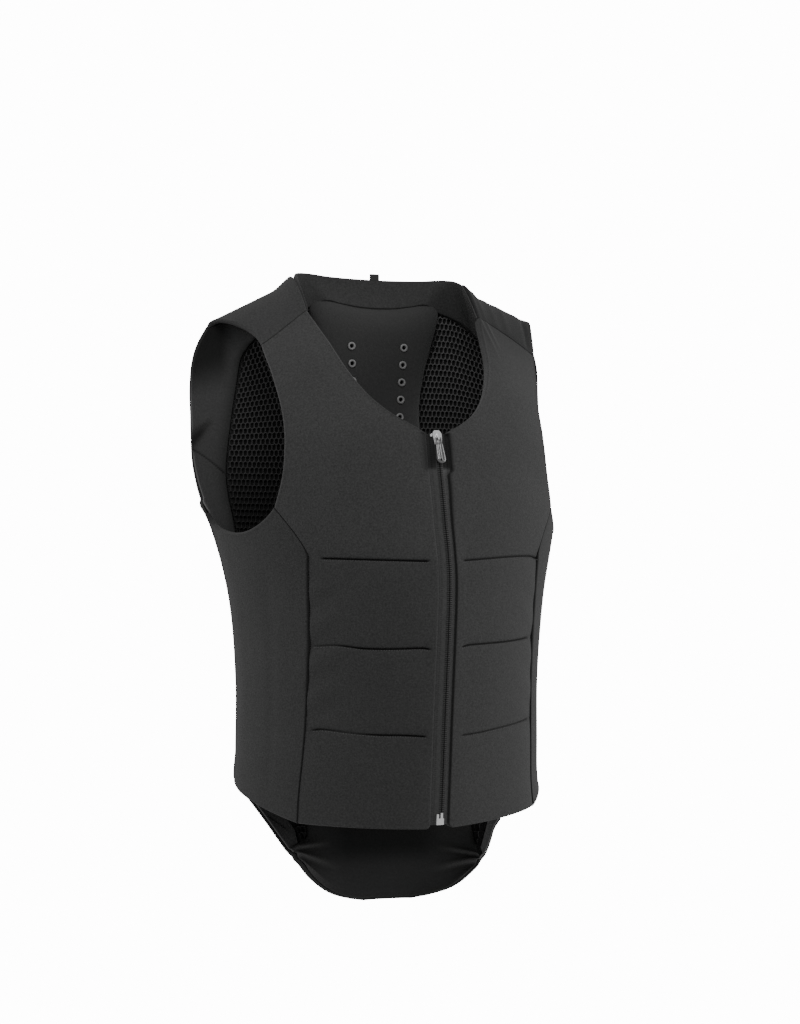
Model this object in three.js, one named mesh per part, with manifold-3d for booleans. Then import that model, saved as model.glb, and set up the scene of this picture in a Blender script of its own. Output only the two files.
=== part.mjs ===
// Protective vest in its worn form: padded quilted fronts with a zip, plain side panels,
// a thin back with a long tail, and a spine pad between two flanks of spacer mesh inside it.
// Millimetres, +Z up, front facing -Y, the wearer's left on +X.
// The origin is on the shoulder line, midway between the neck points.
import * as THREE from "three";
import Module from "manifold-3d";
import { mergeVertices } from "three/addons/utils/BufferGeometryUtils.js";

const wasm = await Module();
wasm.setup();

// Driving dimensions

const SEAM_GAP = 0.4; // clear space between pieces that are sewn to each other
const SEAM_TURN = 0.002; // the same along the side seam, as a turn
const FRONT_PADDING = 8;
const SIDE_PADDING = 5;
const YOKE_WALL = 4;
const SHELL_WALL = 2.5;
const MESH_WALL = 5;
const FACING_WALL = 1.5;
const COLLAR_WALL = 4;
const EDGE_ROLL = 2.2; // how far a padded edge rounds back
const LINING_GAP = 1.3; // between the back's shell and what lies inside it

const NECK_HALF = 93; // from the middle to a neck point
const SHOULDER_SLOPE = 0.46; // fall per millimetre outwards of the neck point
const SHOULDER_SOFTNESS = 10;
const SLOPE_FROM = -200; // below this height the rings lie level
const SIDE_SEAM = (100 * Math.PI) / 180; // turn of the seam between side and back
const SHOULDER_SEAM_RING = -10; // ring of the seam between yoke and back

const ZIP_EDGE_LEFT = 6.3; // from the zip's middle to the edge of each front panel
const ZIP_EDGE_RIGHT = 12.5;
const ZIP_TOP = -160;
const ZIP_BOTTOM = -532;
const TAPE_DEPTH = 4.5; // the tapes lie this far behind the panels' faces
const TAPE_WALL = 1;
const COIL_HALF = 2.5;
const COIL_WALL = 2;

// Tables

function table(columns, rows) {
  return rows.map((row) => Object.fromEntries(columns.map((name, i) => [name, row[i]])));
}

// Rings of the torso: half widths, depth in front of and behind the shoulder line,
// the depth where front meets back, and how square each half is.
const TORSO = table(
  ["ring", "frontWidth", "backWidth", "front", "back", "side", "frontRound", "backRound"],
  [
    [-640, 160, 60, 156, -18, -70, 1.8, 2.2],
    [-615, 160, 90, 156, -10, -63, 1.8, 2.2],
    [-590, 160, 110, 156, -1, -54, 1.8, 2.2],
    [-565, 160, 126, 156, 6, -46, 1.8, 2.3],
    [-535, 160, 145, 156, 15, -31, 1.8, 2.6],
    [-505, 160, 160, 159, 22, -18, 1.8, 2.7],
    [-470, 159, 159, 163, 25, -18, 1.8, 2.8],
    [-400, 158.5, 158.5, 169, 26, -18, 1.8, 3.0],
    [-320, 165.5, 165.5, 172, 29, -18, 1.8, 3.0],
    [-250, 180, 182.5, 168, 32, -12, 1.85, 3.4],
    [-200, 184, 207, 160, 33, -12, 1.9, 3.8],
    [-150, 182, 219, 144, 32, -12, 2.0, 4.0],
    [-88, 178, 222, 100, 30, -8, 2.1, 4.0],
    [-40, 178, 209, 48, 27, -2, 2.2, 4.0],
    [0, 178, 190, 6, 22, 0, 2.2, 4.0],
  ],
);

// Lines across a front panel, from the zip to the curved seam: the hem and the quilting lines.
const QUILT_LINES = table(
  ["zipZ", "seamX", "seamZ", "sink"],
  [
    [-535, 125, -531, 3],
    [-447, 119.5, -443.5, 5],
    [-365, 118, -361, 5],
    [-283, 121, -281, 5],
  ],
);
const BAY_STEPS = [0, 0.1, 0.3, 0.5, 0.7, 0.9];
const BAY_ROUND = 9; // how quickly the padding rises out of a quilting line

// The chest above the quilting: from the zip edge or neckline out to the seam or armhole.
// An innerX of 0 stands for the zip edge.
const CHEST_LINES = table(
  ["innerX", "innerZ", "outerX", "outerZ", "sink"],
  [
    [0, -275, 121.5, -275, 2],
    [0, -262, 128, -261, 0.4],
    [0, -240, 147, -231, 0],
    [0, -205, 141, -200, 0],
    [0, -176, 138.5, -168, 0],
    [0, -161, 138, -150, 0],
    [27, -151, 138, -143, 0],
    [44, -140, 138.2, -134, 0],
    [61, -122, 139, -121, 0],
    [75, -95, 140.5, -101, 0],
    [84, -65, 142, -84, 0],
    [90, -45, 142.5, -77, 0.3],
    [93, -36, 142.5, -73, 1.5],
  ],
);
const CHEST_SEAM_ROWS = 3; // the first rows of the chest still end on the curved seam

// The back's edge: the rounded tail, and the armhole behind the arm.
const TAIL_EDGE = table(
  ["ring", "half"],
  [
    [-631, 26],
    [-627, 46],
    [-619, 68],
    [-606, 87],
    [-588, 104],
    [-565, 118],
    [-543, 130],
    [-521, 145],
    [-508, 155],
  ],
);
const TAIL_RINGS = [-631, -627, -620, -613, -605, -597, -589, -581, -572, -560, -545, -524, -508];
const SIDE_SEAM_RINGS = [-498, -470, -430, -390, -350, -310, -275, -252, -238];
const ARMHOLE_BACK = table(
  ["ring", "half"],
  [
    [-224, 188.5],
    [-208, 192],
    [-185, 195.5],
    [-150, 196.5],
    [-112, 196.5],
    [-75, 195],
    [-50, 194],
    [-34, 191.5],
    [-22, 187],
    [SHOULDER_SEAM_RING - SEAM_GAP, 179],
  ],
);

// Folds where the tail is gathered: height at the edge, height where the fold dies out, depth.
const TAIL_FOLDS = table(
  ["edgeZ", "innerZ", "depth"],
  [
    [-578, -586, 2],
    [-594, -612, 1.6],
  ],
);
const FOLD = { width: 7, outer: 100, inner: 45, fade: 40 }; // distances from the middle, and where it fades

// The spine pad: half width and thickness down the back.
const PAD = table(
  ["ring", "half", "thick"],
  [
    [-24, 64, 8],
    [-30, 68, 13],
    [-45, 67, 16],
    [-68, 61, 16],
    [-92, 55, 16],
    [-124, 50.5, 16],
    [-160, 52, 16],
    [-220, 57, 16],
    [-300, 65, 16],
    [-380, 74, 16],
    [-450, 82, 16],
    [-505, 88, 14],
    [-545, 91, 8],
    [-573, 92, 3.5],
  ],
);
const PAD_SLOPE = { from: 0.7, to: 0.92, share: 0.18, edge: 0.35 }; // how the pad thins towards its sides

// Where the mesh ends and the edge facing begins.
const MESH_EDGE = table(
  ["ring", "half"],
  [
    [-44, 126],
    [-52, 136],
    [-62, 143],
    [-88, 147],
    [-137, 153],
    [-172, 157],
    [-199, 159],
    [-222, 157],
    [-252, 152],
    [-310, 148],
    [-400, 143],
    [-470, 138],
    [-520, 125],
    [-545, 112],
    [-568, 101],
    [-584, 94.6],
  ],
);
// The mesh's top edge slopes with the shoulder: each row's ring at the facing and at the pad.
const MESH_TOP = table(
  ["ring", "padRing"],
  [
    [-44, -30],
    [-52, -42],
    [-62, -57],
  ],
);
const FACING_TOP_RINGS = [-33, -24];
const MESH_BOTTOM_RING = -584;

const EYELET = { rows: 5, top: -64, pitch: 18.2, halfTop: 29, halfBottom: 25.5 };
const EYELET_RING = { bore: 2.1, barrel: 2.7, flange: 4.25, seat: 0.45, proud: 1.3, depth: 5, sides: 10 };

// Curve helpers

const lerp = (a, b, t) => a + (b - a) * t;
const smooth = (t) => {
  const c = Math.min(1, Math.max(0, t));
  return c * c * (3 - 2 * c);
};

// Every column of a table at a key, by cubic pieces whose slopes run from row to row.
function readTable(rows, keyName, key) {
  const first = rows[0][keyName];
  const last = rows[rows.length - 1][keyName];
  const rising = last > first;
  const at = Math.min(Math.max(key, Math.min(first, last)), Math.max(first, last));
  let k = 0;
  while (k < rows.length - 2 && (rising ? rows[k + 1][keyName] < at : rows[k + 1][keyName] > at)) k += 1;
  const a = rows[k];
  const b = rows[k + 1];
  const span = b[keyName] - a[keyName];
  const t = (at - a[keyName]) / span;
  const slope = (i, name) => {
    const before = rows[Math.max(0, i - 1)];
    const after = rows[Math.min(rows.length - 1, i + 1)];
    return (after[name] - before[name]) / (after[keyName] - before[keyName]);
  };
  const out = {};
  for (const name of Object.keys(a)) {
    out[name] =
      (2 * t ** 3 - 3 * t ** 2 + 1) * a[name] +
      (t ** 3 - 2 * t ** 2 + t) * span * slope(k, name) +
      (3 * t ** 2 - 2 * t ** 3) * b[name] +
      (t ** 3 - t ** 2) * span * slope(k + 1, name);
  }
  return out;
}

// The torso's skin: turn 0 is the front middle, a quarter turn the side, a half turn the back middle.

function droop(x, ring) {
  const past = Math.abs(x) - NECK_HALF;
  const outwards = (Math.hypot(past, SHOULDER_SOFTNESS) + past) / 2;
  return SHOULDER_SLOPE * smooth((ring - SLOPE_FROM) / -SLOPE_FROM) * outwards;
}

function skin(turn, ring) {
  const r = readTable(TORSO, "ring", ring);
  const cos = Math.cos(turn);
  const sin = Math.sin(turn);
  const inFront = cos > 0;
  const round = inFront ? r.frontRound : r.backRound;
  const width = inFront ? r.frontWidth : r.backWidth;
  const depth = inFront ? r.front + r.side : r.back - r.side;
  const reach = (Math.abs(sin) ** round + Math.abs(cos) ** round) ** (-1 / round);
  const x = width * sin * reach;
  return new THREE.Vector3(x, r.side - depth * cos * reach, ring - droop(x, ring));
}

// The turn at which a ring passes a distance x from the middle, in front or behind.
// The middle itself is given as a distance just off it, so that the turn has a side.
const AT_MIDDLE = 1e-6;

function turnAt(x, ring, behind = false) {
  const r = readTable(TORSO, "ring", ring);
  const round = behind ? r.backRound : r.frontRound;
  const share = Math.min(1, Math.abs(x) / (behind ? r.backWidth : r.frontWidth));
  const turn = Math.atan2(share, (1 - share ** round) ** (1 / round));
  return Math.sign(x) * (behind ? Math.PI - turn : turn);
}

// The ring whose sloping shoulder passes through x at height z.
function ringThrough(x, z) {
  let ring = z;
  for (let i = 0; i < 12; i += 1) ring = z + droop(x, ring);
  return ring;
}

function skinNormal(turn, ring) {
  const step = 0.002;
  const rise = 0.4;
  const along = skin(turn + step, ring).sub(skin(turn - step, ring));
  const up = skin(turn, ring + rise).sub(skin(turn, ring - rise));
  return along.cross(up).normalize();
}

// Solids

// A closed wall from a grid of outer points and the matching grid of inner points.
function wall(outer, inner) {
  const rows = outer.length;
  const columns = outer[0].length;
  const points = [...outer.flat(), ...inner.flat()];
  const at = (side, i, j) => side * rows * columns + i * columns + j;
  const triangles = [];
  const quad = (a, b, c, d) => {
    const acrossAC = points[a].distanceToSquared(points[c]);
    const acrossBD = points[b].distanceToSquared(points[d]);
    if (acrossAC < acrossBD) triangles.push(a, b, c, a, c, d);
    else triangles.push(a, b, d, b, c, d);
  };
  for (let i = 0; i + 1 < rows; i += 1) {
    for (let j = 0; j + 1 < columns; j += 1) {
      quad(at(0, i, j), at(0, i, j + 1), at(0, i + 1, j + 1), at(0, i + 1, j));
      quad(at(1, i, j), at(1, i + 1, j), at(1, i + 1, j + 1), at(1, i, j + 1));
    }
  }
  const last = rows - 1;
  const end = columns - 1;
  for (let j = 0; j < end; j += 1) {
    quad(at(0, 0, j), at(1, 0, j), at(1, 0, j + 1), at(0, 0, j + 1));
    quad(at(0, last, j), at(0, last, j + 1), at(1, last, j + 1), at(1, last, j));
  }
  for (let i = 0; i < last; i += 1) {
    quad(at(0, i, 0), at(0, i + 1, 0), at(1, i + 1, 0), at(1, i, 0));
    quad(at(0, i, end), at(1, i, end), at(1, i + 1, end), at(0, i + 1, end));
  }
  let volume = 0;
  for (let k = 0; k < triangles.length; k += 3) {
    const [a, b, c] = [points[triangles[k]], points[triangles[k + 1]], points[triangles[k + 2]]];
    volume += a.dot(b.clone().cross(c));
  }
  if (volume < 0) triangles.reverse();
  const geometry = new THREE.BufferGeometry().setFromPoints(points);
  geometry.setIndex(triangles);
  return geometry;
}

// A piece that lies on the skin: each cell gives its turn and ring, and how far
// its outer and inner face lie above (plus) or below (minus) the skin.
function skinPiece(cells) {
  const lifted = (cell, lift) =>
    skin(cell.turn, cell.ring).addScaledVector(skinNormal(cell.turn, cell.ring), lift);
  return wall(
    cells.map((row) => row.map((cell) => lifted(cell, cell.top))),
    cells.map((row) => row.map((cell) => lifted(cell, cell.under))),
  );
}

function solid(geometry) {
  const bare = geometry.clone();
  bare.deleteAttribute("normal");
  bare.deleteAttribute("uv");
  const merged = mergeVertices(bare, 1e-4);
  return new wasm.Manifold(
    new wasm.Mesh({
      numProp: 3,
      vertProperties: merged.attributes.position.array,
      triVerts: new Uint32Array(merged.index.array),
    }),
  );
}

function geometryOf(made) {
  const mesh = made.getMesh();
  return new THREE.BufferGeometry()
    .setAttribute("position", new THREE.BufferAttribute(mesh.vertProperties, 3))
    .setIndex(new THREE.BufferAttribute(mesh.triVerts, 1));
}

const fabric = (color, roughness = 0.9) => new THREE.MeshStandardMaterial({ color, roughness, metalness: 0 });
const metal = (color) => new THREE.MeshStandardMaterial({ color, roughness: 0.35, metalness: 1 });

const vest = new THREE.Group();

function piece(name, geometry, material, parent = vest) {
  const mesh = new THREE.Mesh(geometry, material);
  mesh.name = name;
  parent.add(mesh);
  return mesh;
}

const SIDES = [
  { name: "left", sign: 1, zipEdge: ZIP_EDGE_LEFT },
  { name: "right", sign: -1, zipEdge: ZIP_EDGE_RIGHT },
];

// How far a padded edge rounds back at a share of the way across.
const ROLL_SHARE = 0.05;
const EDGE_STEPS = [0, ROLL_SHARE, 0.2, 0.4, 0.6, 0.8, 1 - ROLL_SHARE, 1];
const edgeRoll = (u) => EDGE_ROLL * Math.max(0, 1 - Math.min(u, 1 - u) / ROLL_SHARE) ** 2;

// Front panels: rows of padding between the quilting lines, then the chest up to the shoulder seam

function frontLines() {
  const lines = [];
  QUILT_LINES.forEach((low, k) => {
    const high = QUILT_LINES[k + 1];
    const steps = high ? BAY_STEPS : [0];
    for (const t of steps) {
      const next = high ?? low;
      lines.push({
        innerX: 0,
        innerZ: lerp(low.zipZ, next.zipZ, t),
        outerX: lerp(low.seamX, next.seamX, t),
        outerZ: lerp(low.seamZ, next.seamZ, t),
        sink: low.sink * (1 - t) ** BAY_ROUND + next.sink * t ** BAY_ROUND,
      });
    }
  });
  return [...lines, ...CHEST_LINES];
}

const FRONT_LINES = frontLines();
const SEAM_LINES = FRONT_LINES.slice(0, FRONT_LINES.length - CHEST_LINES.length + CHEST_SEAM_ROWS);

function frontPanel({ sign, zipEdge }) {
  const cells = FRONT_LINES.map((line) => {
    const innerX = line.innerX || zipEdge;
    const outerX = line.outerX - SEAM_GAP / 2;
    const innerRing = ringThrough(innerX, line.innerZ);
    const outerRing = ringThrough(outerX, line.outerZ);
    return EDGE_STEPS.map((u) => {
      const ring = lerp(innerRing, outerRing, u);
      return {
        turn: turnAt(sign * lerp(innerX, outerX, u), ring),
        ring,
        top: -Math.max(edgeRoll(u), line.sink),
        under: -FRONT_PADDING,
      };
    });
  });
  return skinPiece(cells);
}

// Side panels: from the curved seam round to the side seam, scooped under the armhole

const SIDE_STEPS = [0, 0.06, 0.25, 0.45, 0.65, 0.85, 1];
const SIDE_HEM = -503;
const SIDE_TOP = -238;
const SCOOP = 22;
const SCOOP_FROM = -350;

function sidePanel({ sign }) {
  const hem = SEAM_LINES[0].outerZ;
  const top = SEAM_LINES[SEAM_LINES.length - 1].outerZ;
  const cells = SEAM_LINES.map((line, k) => {
    const climbed = (line.outerZ - hem) / (top - hem);
    const behindRing = lerp(SIDE_HEM, SIDE_TOP, climbed);
    const frontTurn = turnAt(line.outerX + SEAM_GAP / 2, line.outerZ);
    const rim = k === 0 || k === SEAM_LINES.length - 1 ? EDGE_ROLL / 2 : 0;
    const scoop = SCOOP * smooth((line.outerZ - SCOOP_FROM) / (top - SCOOP_FROM));
    return SIDE_STEPS.map((u) => ({
      turn: sign * lerp(frontTurn, SIDE_SEAM - SEAM_TURN, u),
      ring: lerp(line.outerZ, behindRing, u) - scoop * Math.sin(Math.PI * u ** 0.8),
      top: -Math.max(rim, u === 0 ? EDGE_ROLL : 0),
      under: -SIDE_PADDING,
    }));
  });
  return skinPiece(cells);
}

// Shoulder yokes: a curve over the shoulder from the forward seam to the seam behind

const YOKE_STEPS = [0, 0.06, 0.2, 0.35, 0.5, 0.65, 0.8, 1];
const YOKE_RISE = { front: 50, back: 30 }; // reach of the curve's handles at the neck
const YOKE_FALL = { share: 0.34, across: 0.25 }; // how much shorter the handles are past the neck
const YOKE_NECK_X = 94;

function shoulderYoke({ sign }) {
  const seam = CHEST_LINES[CHEST_LINES.length - 1];
  const tip = ARMHOLE_BACK[ARMHOLE_BACK.length - 1].half - SEAM_GAP;
  const innerRing = ringThrough(seam.innerX, seam.innerZ);
  const outerRing = ringThrough(seam.outerX, seam.outerZ);
  const onSkin = (x, ring, behind) => skin(turnAt(sign * x, ring, behind), ring);
  const upwards = (x, ring, behind) =>
    onSkin(x, ring + 1, behind).sub(onSkin(x, ring, behind)).normalize();
  const point = (s, t) => {
    const frontX = lerp(seam.innerX, seam.outerX, s);
    const frontRing = lerp(innerRing, outerRing, s) + 1.5 * SEAM_GAP;
    const backX = lerp(YOKE_NECK_X, tip, s);
    const backRing = SHOULDER_SEAM_RING + SEAM_GAP / 2;
    const from = onSkin(frontX, frontRing, false);
    const to = onSkin(backX, backRing, true);
    const reach = 1 - YOKE_FALL.share * smooth(s / YOKE_FALL.across);
    return new THREE.CubicBezierCurve3(
      from,
      from.clone().addScaledVector(upwards(frontX, frontRing, false), reach * YOKE_RISE.front),
      to.clone().addScaledVector(upwards(backX, backRing, true), reach * YOKE_RISE.back),
      to,
    ).getPoint(t);
  };
  const step = 0.004;
  const clampStep = (v) => [Math.max(0, v - step), Math.min(1, v + step)];
  const normal = (s, t) => {
    const [s0, s1] = clampStep(s);
    const [t0, t1] = clampStep(t);
    const along = point(s1, t).sub(point(s0, t));
    const over = point(s, t1).sub(point(s, t0));
    const out = along.cross(over).normalize();
    return out.z < 0 ? out.negate() : out;
  };
  const lift = (height) =>
    YOKE_STEPS.map((t) =>
      EDGE_STEPS.map((s) => point(s, t).addScaledVector(normal(s, t), height(s, t))),
    );
  const rim = (s, t) => -Math.max(edgeRoll(s), t === 0 ? EDGE_ROLL : 0) / 2;
  return wall(lift(rim), lift(() => -YOKE_WALL));
}

// Back panel: one thin shell from the shoulder seams to the tail

const BACK_STEPS = [0, 0.15, 0.31, 0.47, 0.62, 0.76, 0.87, 0.94, 0.98, 1];
const BACK_RINGS = [...TAIL_RINGS, ...SIDE_SEAM_RINGS, ...ARMHOLE_BACK.map((row) => row.ring)];
const acrossBoth = (steps) => [...steps.slice(1).reverse().map((s) => -s), ...steps];

// The turn, measured from the back's middle, at which a ring meets the back's edge.
function backEdge(ring) {
    if (ring < TAIL_EDGE[TAIL_EDGE.length - 1].ring + 0.5) {
    return Math.PI - turnAt(readTable(TAIL_EDGE, "ring", ring).half, ring, true);
  }
  if (ring > ARMHOLE_BACK[0].ring - 0.5) {
    return Math.PI - turnAt(readTable(ARMHOLE_BACK, "ring", ring).half, ring, true);
  }
  return Math.PI - SIDE_SEAM - SEAM_TURN;
}

function tailFold(x, z) {
  const inwards = smooth((Math.abs(x) - FOLD.inner) / FOLD.fade);
  const t = Math.min(1, Math.max(0, (FOLD.outer - Math.abs(x)) / (FOLD.outer - FOLD.inner)));
  return TAIL_FOLDS.reduce((sum, fold) => {
    const middle = lerp(fold.edgeZ, fold.innerZ, t);
    return sum + inwards * fold.depth * Math.exp(-(((z - middle) / FOLD.width) ** 2));
  }, 0);
}

function backPanel() {
  const cells = BACK_RINGS.map((ring) => {
    const edge = backEdge(ring);
    return acrossBoth(BACK_STEPS).map((s) => {
      const turn = Math.PI - s * edge;
      const here = skin(turn, ring);
      const fold = tailFold(here.x, here.z);
      return { turn, ring, top: -fold, under: -fold - SHELL_WALL };
    });
  });
  return skinPiece(cells);
}

// Linings inside the back, each lying just clear of the shell and sharing its rows

const LINING = -SHELL_WALL - LINING_GAP;
const LINING_ROWS = [
  { ring: MESH_BOTTOM_RING, padRing: MESH_BOTTOM_RING },
  ...BACK_RINGS.filter((ring) => ring > MESH_BOTTOM_RING && ring < MESH_TOP[2].ring).map((ring) => ({
    ring,
    padRing: ring,
  })),
  ...MESH_TOP.toReversed(),
];

function liningCell(turn, ring, thick) {
  const here = skin(turn, ring);
  const top = LINING - tailFold(here.x, here.z);
  return { turn, ring, top, under: top - thick };
}

const PAD_STEPS = [0, 0.35, PAD_SLOPE.from, PAD_SLOPE.to, 1];

function padSolid() {
  const cells = PAD.map((row) =>
    acrossBoth(PAD_STEPS).map((s) => {
      const turn = turnAt(s * row.half || AT_MIDDLE, row.ring, true);
      const { from, to, share, edge } = PAD_SLOPE;
      const thinned = 1 - share * smooth((Math.abs(s) - from) / (to - from));
      return liningCell(turn, row.ring, row.thick * (Math.abs(s) === 1 ? edge : thinned));
    }),
  );
  return skinPiece(cells);
}

function eyeletPlaces() {
  const places = [];
  for (let k = 0; k < EYELET.rows; k += 1) {
    const ring = EYELET.top - k * EYELET.pitch;
    const half = lerp(EYELET.halfTop, EYELET.halfBottom, k / (EYELET.rows - 1));
    const thick = readTable(PAD, "ring", ring).thick;
    for (const { name, sign } of SIDES) {
      const turn = turnAt(sign * half, ring, true);
      const inwards = skinNormal(turn, ring).negate();
      const seat = skin(turn, ring).addScaledVector(inwards, thick - LINING);
      places.push({ name: `eyelet_${k + 1}_${name}`, seat, inwards });
    }
  }
  return places;
}

// Sets a shape made about the Y axis on a seat, with Y along the given direction.
function stand(geometry, seat, direction) {
  const turned = new THREE.Quaternion().setFromUnitVectors(new THREE.Vector3(0, 1, 0), direction);
  return geometry.clone().applyQuaternion(turned).translate(seat.x, seat.y, seat.z);
}

const DRILL_LENGTH = 60;

function pierced(pad) {
  const hole = EYELET_RING.barrel + SEAM_GAP;
  const drill = new THREE.CylinderGeometry(hole, hole, DRILL_LENGTH, EYELET_RING.sides);
  const drills = eyeletPlaces().map(({ seat, inwards }) => solid(stand(drill, seat, inwards)));
  return geometryOf(drills.reduce((left, cut) => left.subtract(cut), solid(pad)));
}

function eyelet() {
  const { bore, barrel, flange, seat, proud, depth, sides } = EYELET_RING;
  const profile = [
    [bore, -depth],
    [barrel, -depth],
    [barrel, seat],
    [flange, seat],
    [flange - seat, proud],
    [bore, proud - seat / 2],
    [bore, -depth],
  ].map(([x, y]) => new THREE.Vector2(x, y));
  return new THREE.LatheGeometry(profile, sides);
}

const FLANK_STEPS = [0, 0.12, 0.5, 0.88, 1];

function meshFlank({ sign }) {
  const cells = LINING_ROWS.map((row) => {
    const padHalf = readTable(PAD, "ring", row.padRing).half + 2 * SEAM_GAP;
    const outerHalf = Math.max(readTable(MESH_EDGE, "ring", row.ring).half, padHalf + 1);
    return FLANK_STEPS.map((u) => {
      const ring = lerp(row.padRing, row.ring, u);
      const turn = turnAt(sign * lerp(padHalf, outerHalf, u), ring, true);
      return liningCell(turn, ring, u === 0 || u === 1 ? MESH_WALL / 2 : MESH_WALL);
    });
  });
  return skinPiece(cells);
}

const FACING_STEPS = [0, 0.35, 0.7, 1];
const FACING_INSET = 0.014; // turn kept clear of the back's edge

function edgeFacing({ sign }) {
  const rings = [...LINING_ROWS.map((row) => row.ring), ...FACING_TOP_RINGS];
  const cells = rings.map((ring) => {
    const meshHalf = readTable(MESH_EDGE, "ring", ring).half + 2 * SEAM_GAP;
    const from = turnAt(sign * meshHalf, ring, true);
    const to = sign * (Math.PI - backEdge(ring) + FACING_INSET);
    return FACING_STEPS.map((u) => liningCell(lerp(from, to, u), ring, FACING_WALL));
  });
  return skinPiece(cells);
}

// Collar band: stands round the back of the neck, its lower half tucked inside the back panel

const COLLAR = { half: 90.5, endY: 1, topZ: 6, endDrop: 4.5, bottomZ: -23, bottomRise: 10, round: 5 };
const COLLAR_LEAN = table(
  ["v", "backY"],
  [
    [0, 16.7],
    [0.4, 20.2],
    [1, 21.2],
  ],
);
const COLLAR_STEPS = [0, 0.2, 0.36, 0.45, 0.52, 0.62, 0.8, 1];

function collarBand() {
  const point = (g, v, inset) => {
    const angle = (g * Math.PI) / 2;
    const { half, endY, topZ, endDrop, bottomZ, bottomRise, round } = COLLAR;
    const cos = Math.cos(angle);
    const sin = Math.sin(angle);
    const reach = (Math.abs(sin) ** round + Math.abs(cos) ** round) ** (-1 / round);
    const backY = readTable(COLLAR_LEAN, "v", v).backY - inset;
    const low = bottomZ + bottomRise * Math.abs(g) ** 3;
    const high = topZ - endDrop * g ** 4;
    const y = endY + (backY - endY) * cos * reach;
    return new THREE.Vector3((half - inset) * sin * reach, y, lerp(low, high, v));
  };
  const grid = (inset) =>
    COLLAR_LEAN.map(({ v }) => acrossBoth(COLLAR_STEPS).map((g) => point(g, v, inset)));
  return wall(grid(0), grid(COLLAR_WALL));
}

const LOOP = { width: 9.5, height: 8.5, tape: 1, gap: 1.4, seatY: 19, clear: 0.3 };

function hangerLoop() {
  const { width, height, tape, gap, seatY, clear } = LOOP;
  const outside = gap / 2 + tape;
  const outline = new THREE.Shape()
    .moveTo(-outside, 0)
    .lineTo(-outside, height - outside)
    .absarc(0, height - outside, outside, Math.PI, 0, true)
    .lineTo(outside, 0)
    .lineTo(gap / 2, 0)
    .lineTo(gap / 2, height - outside)
    .absarc(0, height - outside, gap / 2, 0, Math.PI, false)
    .lineTo(-gap / 2, 0)
    .closePath();
  const strip = new THREE.ExtrudeGeometry(outline, { depth: width, bevelEnabled: false, curveSegments: 6 });
  return strip
    .translate(0, 0, -width / 2)
    .rotateX(Math.PI / 2)
    .rotateZ(Math.PI / 2)
    .translate(0, seatY, COLLAR.topZ + clear);
}

// Zip: two tapes that meet in the middle, the coil behind them, and the metal parts

const ZIP_ROWS = 15;

function zipStrip(fromX, toX, top, under, bottom, up) {
  const cells = [];
  for (let k = 0; k < ZIP_ROWS; k += 1) {
    const ring = lerp(bottom, up, k / (ZIP_ROWS - 1));
    const turnAcross = (u) => turnAt(lerp(fromX, toX, u) || AT_MIDDLE, ring);
    cells.push([0, 0.5, 1].map((u) => ({ turn: turnAcross(u), ring, top, under })));
  }
  return skinPiece(cells);
}

const SLIDER = { z: -164, half: 4.7, above: 7.5, below: 7, plate: 1.3 };
const SLIDER_FACE = { foot: 0.78, shoulder: 0.35, nose: 0.45 }; // shares of its half width and height
const SLIDER_BACK = { half: 3.7, below: 6, corner: 2 };
const SLIDER_NECK = { half: 2, tall: 3, drop: 0.3, lap: 0.2 };
const BAIL = { half: 0.9, above: 3.4, below: 3, wire: 1.1, room: 2, round: 1, lap: 0.2 };
const PIVOT = { up: -1, out: 1 }; // from the slider's middle and from the face of its plate
const PULL = { bar: 1.1, wall: 1.2, eyeHalf: 1.75, topHalf: 2.9, eye: 5, tabTop: 3.3, tabEnd: 4.7 };
const PULL_LENGTH = 25.5;
const PULL_EYE_RIM = 0.4; // left below the eye before the tab widens
const PULL_HOLE = { radius: 1.2, up: 3.4, sides: 10 }; // small hole near the pull's end

// The zip's own frame at a height: Z up along the zip, -Y straight out of it.
function zipFrame(ring) {
  const seat = skin(0, ring);
  const up = skin(0, ring + 2).sub(skin(0, ring - 2)).normalize();
  const group = new THREE.Group();
  group.position.copy(seat);
  group.rotation.x = Math.atan2(-up.y, up.z);
  vest.add(group);
  return group;
}

// A flat outline in X and Z, given a thickness from nearY back to farY.
function plate(outline, nearY, farY, curveSegments = 6) {
  const depth = farY - nearY;
  const made = new THREE.ExtrudeGeometry(outline, { depth, bevelEnabled: false, curveSegments });
  return made.rotateX(Math.PI / 2).translate(0, farY, 0);
}

function sliderSolid() {
  const { half, above, below, plate: thick } = SLIDER;
  const { foot, shoulder, nose } = SLIDER_FACE;
  const face = TAPE_DEPTH - SEAM_GAP - thick;
  const behind = TAPE_DEPTH + TAPE_WALL + COIL_WALL + 3 * SEAM_GAP;
  const front = new THREE.Shape()
    .moveTo(-half * foot, -below)
    .lineTo(half * foot, -below)
    .lineTo(half, above * shoulder)
    .quadraticCurveTo(half, above * foot, half * nose, above)
    .lineTo(-half * nose, above)
    .quadraticCurveTo(-half, above * foot, -half, above * shoulder)
    .closePath();
  const rear = SLIDER_BACK;
  const back = new THREE.Shape()
    .moveTo(-rear.half, -rear.below)
    .lineTo(rear.half, -rear.below)
    .lineTo(rear.half, above - rear.corner)
    .lineTo(rear.half - rear.corner, above)
    .lineTo(rear.corner - rear.half, above)
    .lineTo(-rear.half, above - rear.corner)
    .closePath();
  const neckFrom = face + thick - SLIDER_NECK.lap;
  const neckTo = behind + SLIDER_NECK.lap;
  const neck = new THREE.BoxGeometry(2 * SLIDER_NECK.half, neckTo - neckFrom, SLIDER_NECK.tall);
  neck.translate(0, (neckFrom + neckTo) / 2, above - SLIDER_NECK.drop - SLIDER_NECK.tall / 2);
  const parts = [plate(front, face, face + thick), plate(back, behind, behind + thick), neck, bailArch(face)];
  return geometryOf(parts.map(solid).reduce((joined, next) => joined.add(next)));
}

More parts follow.
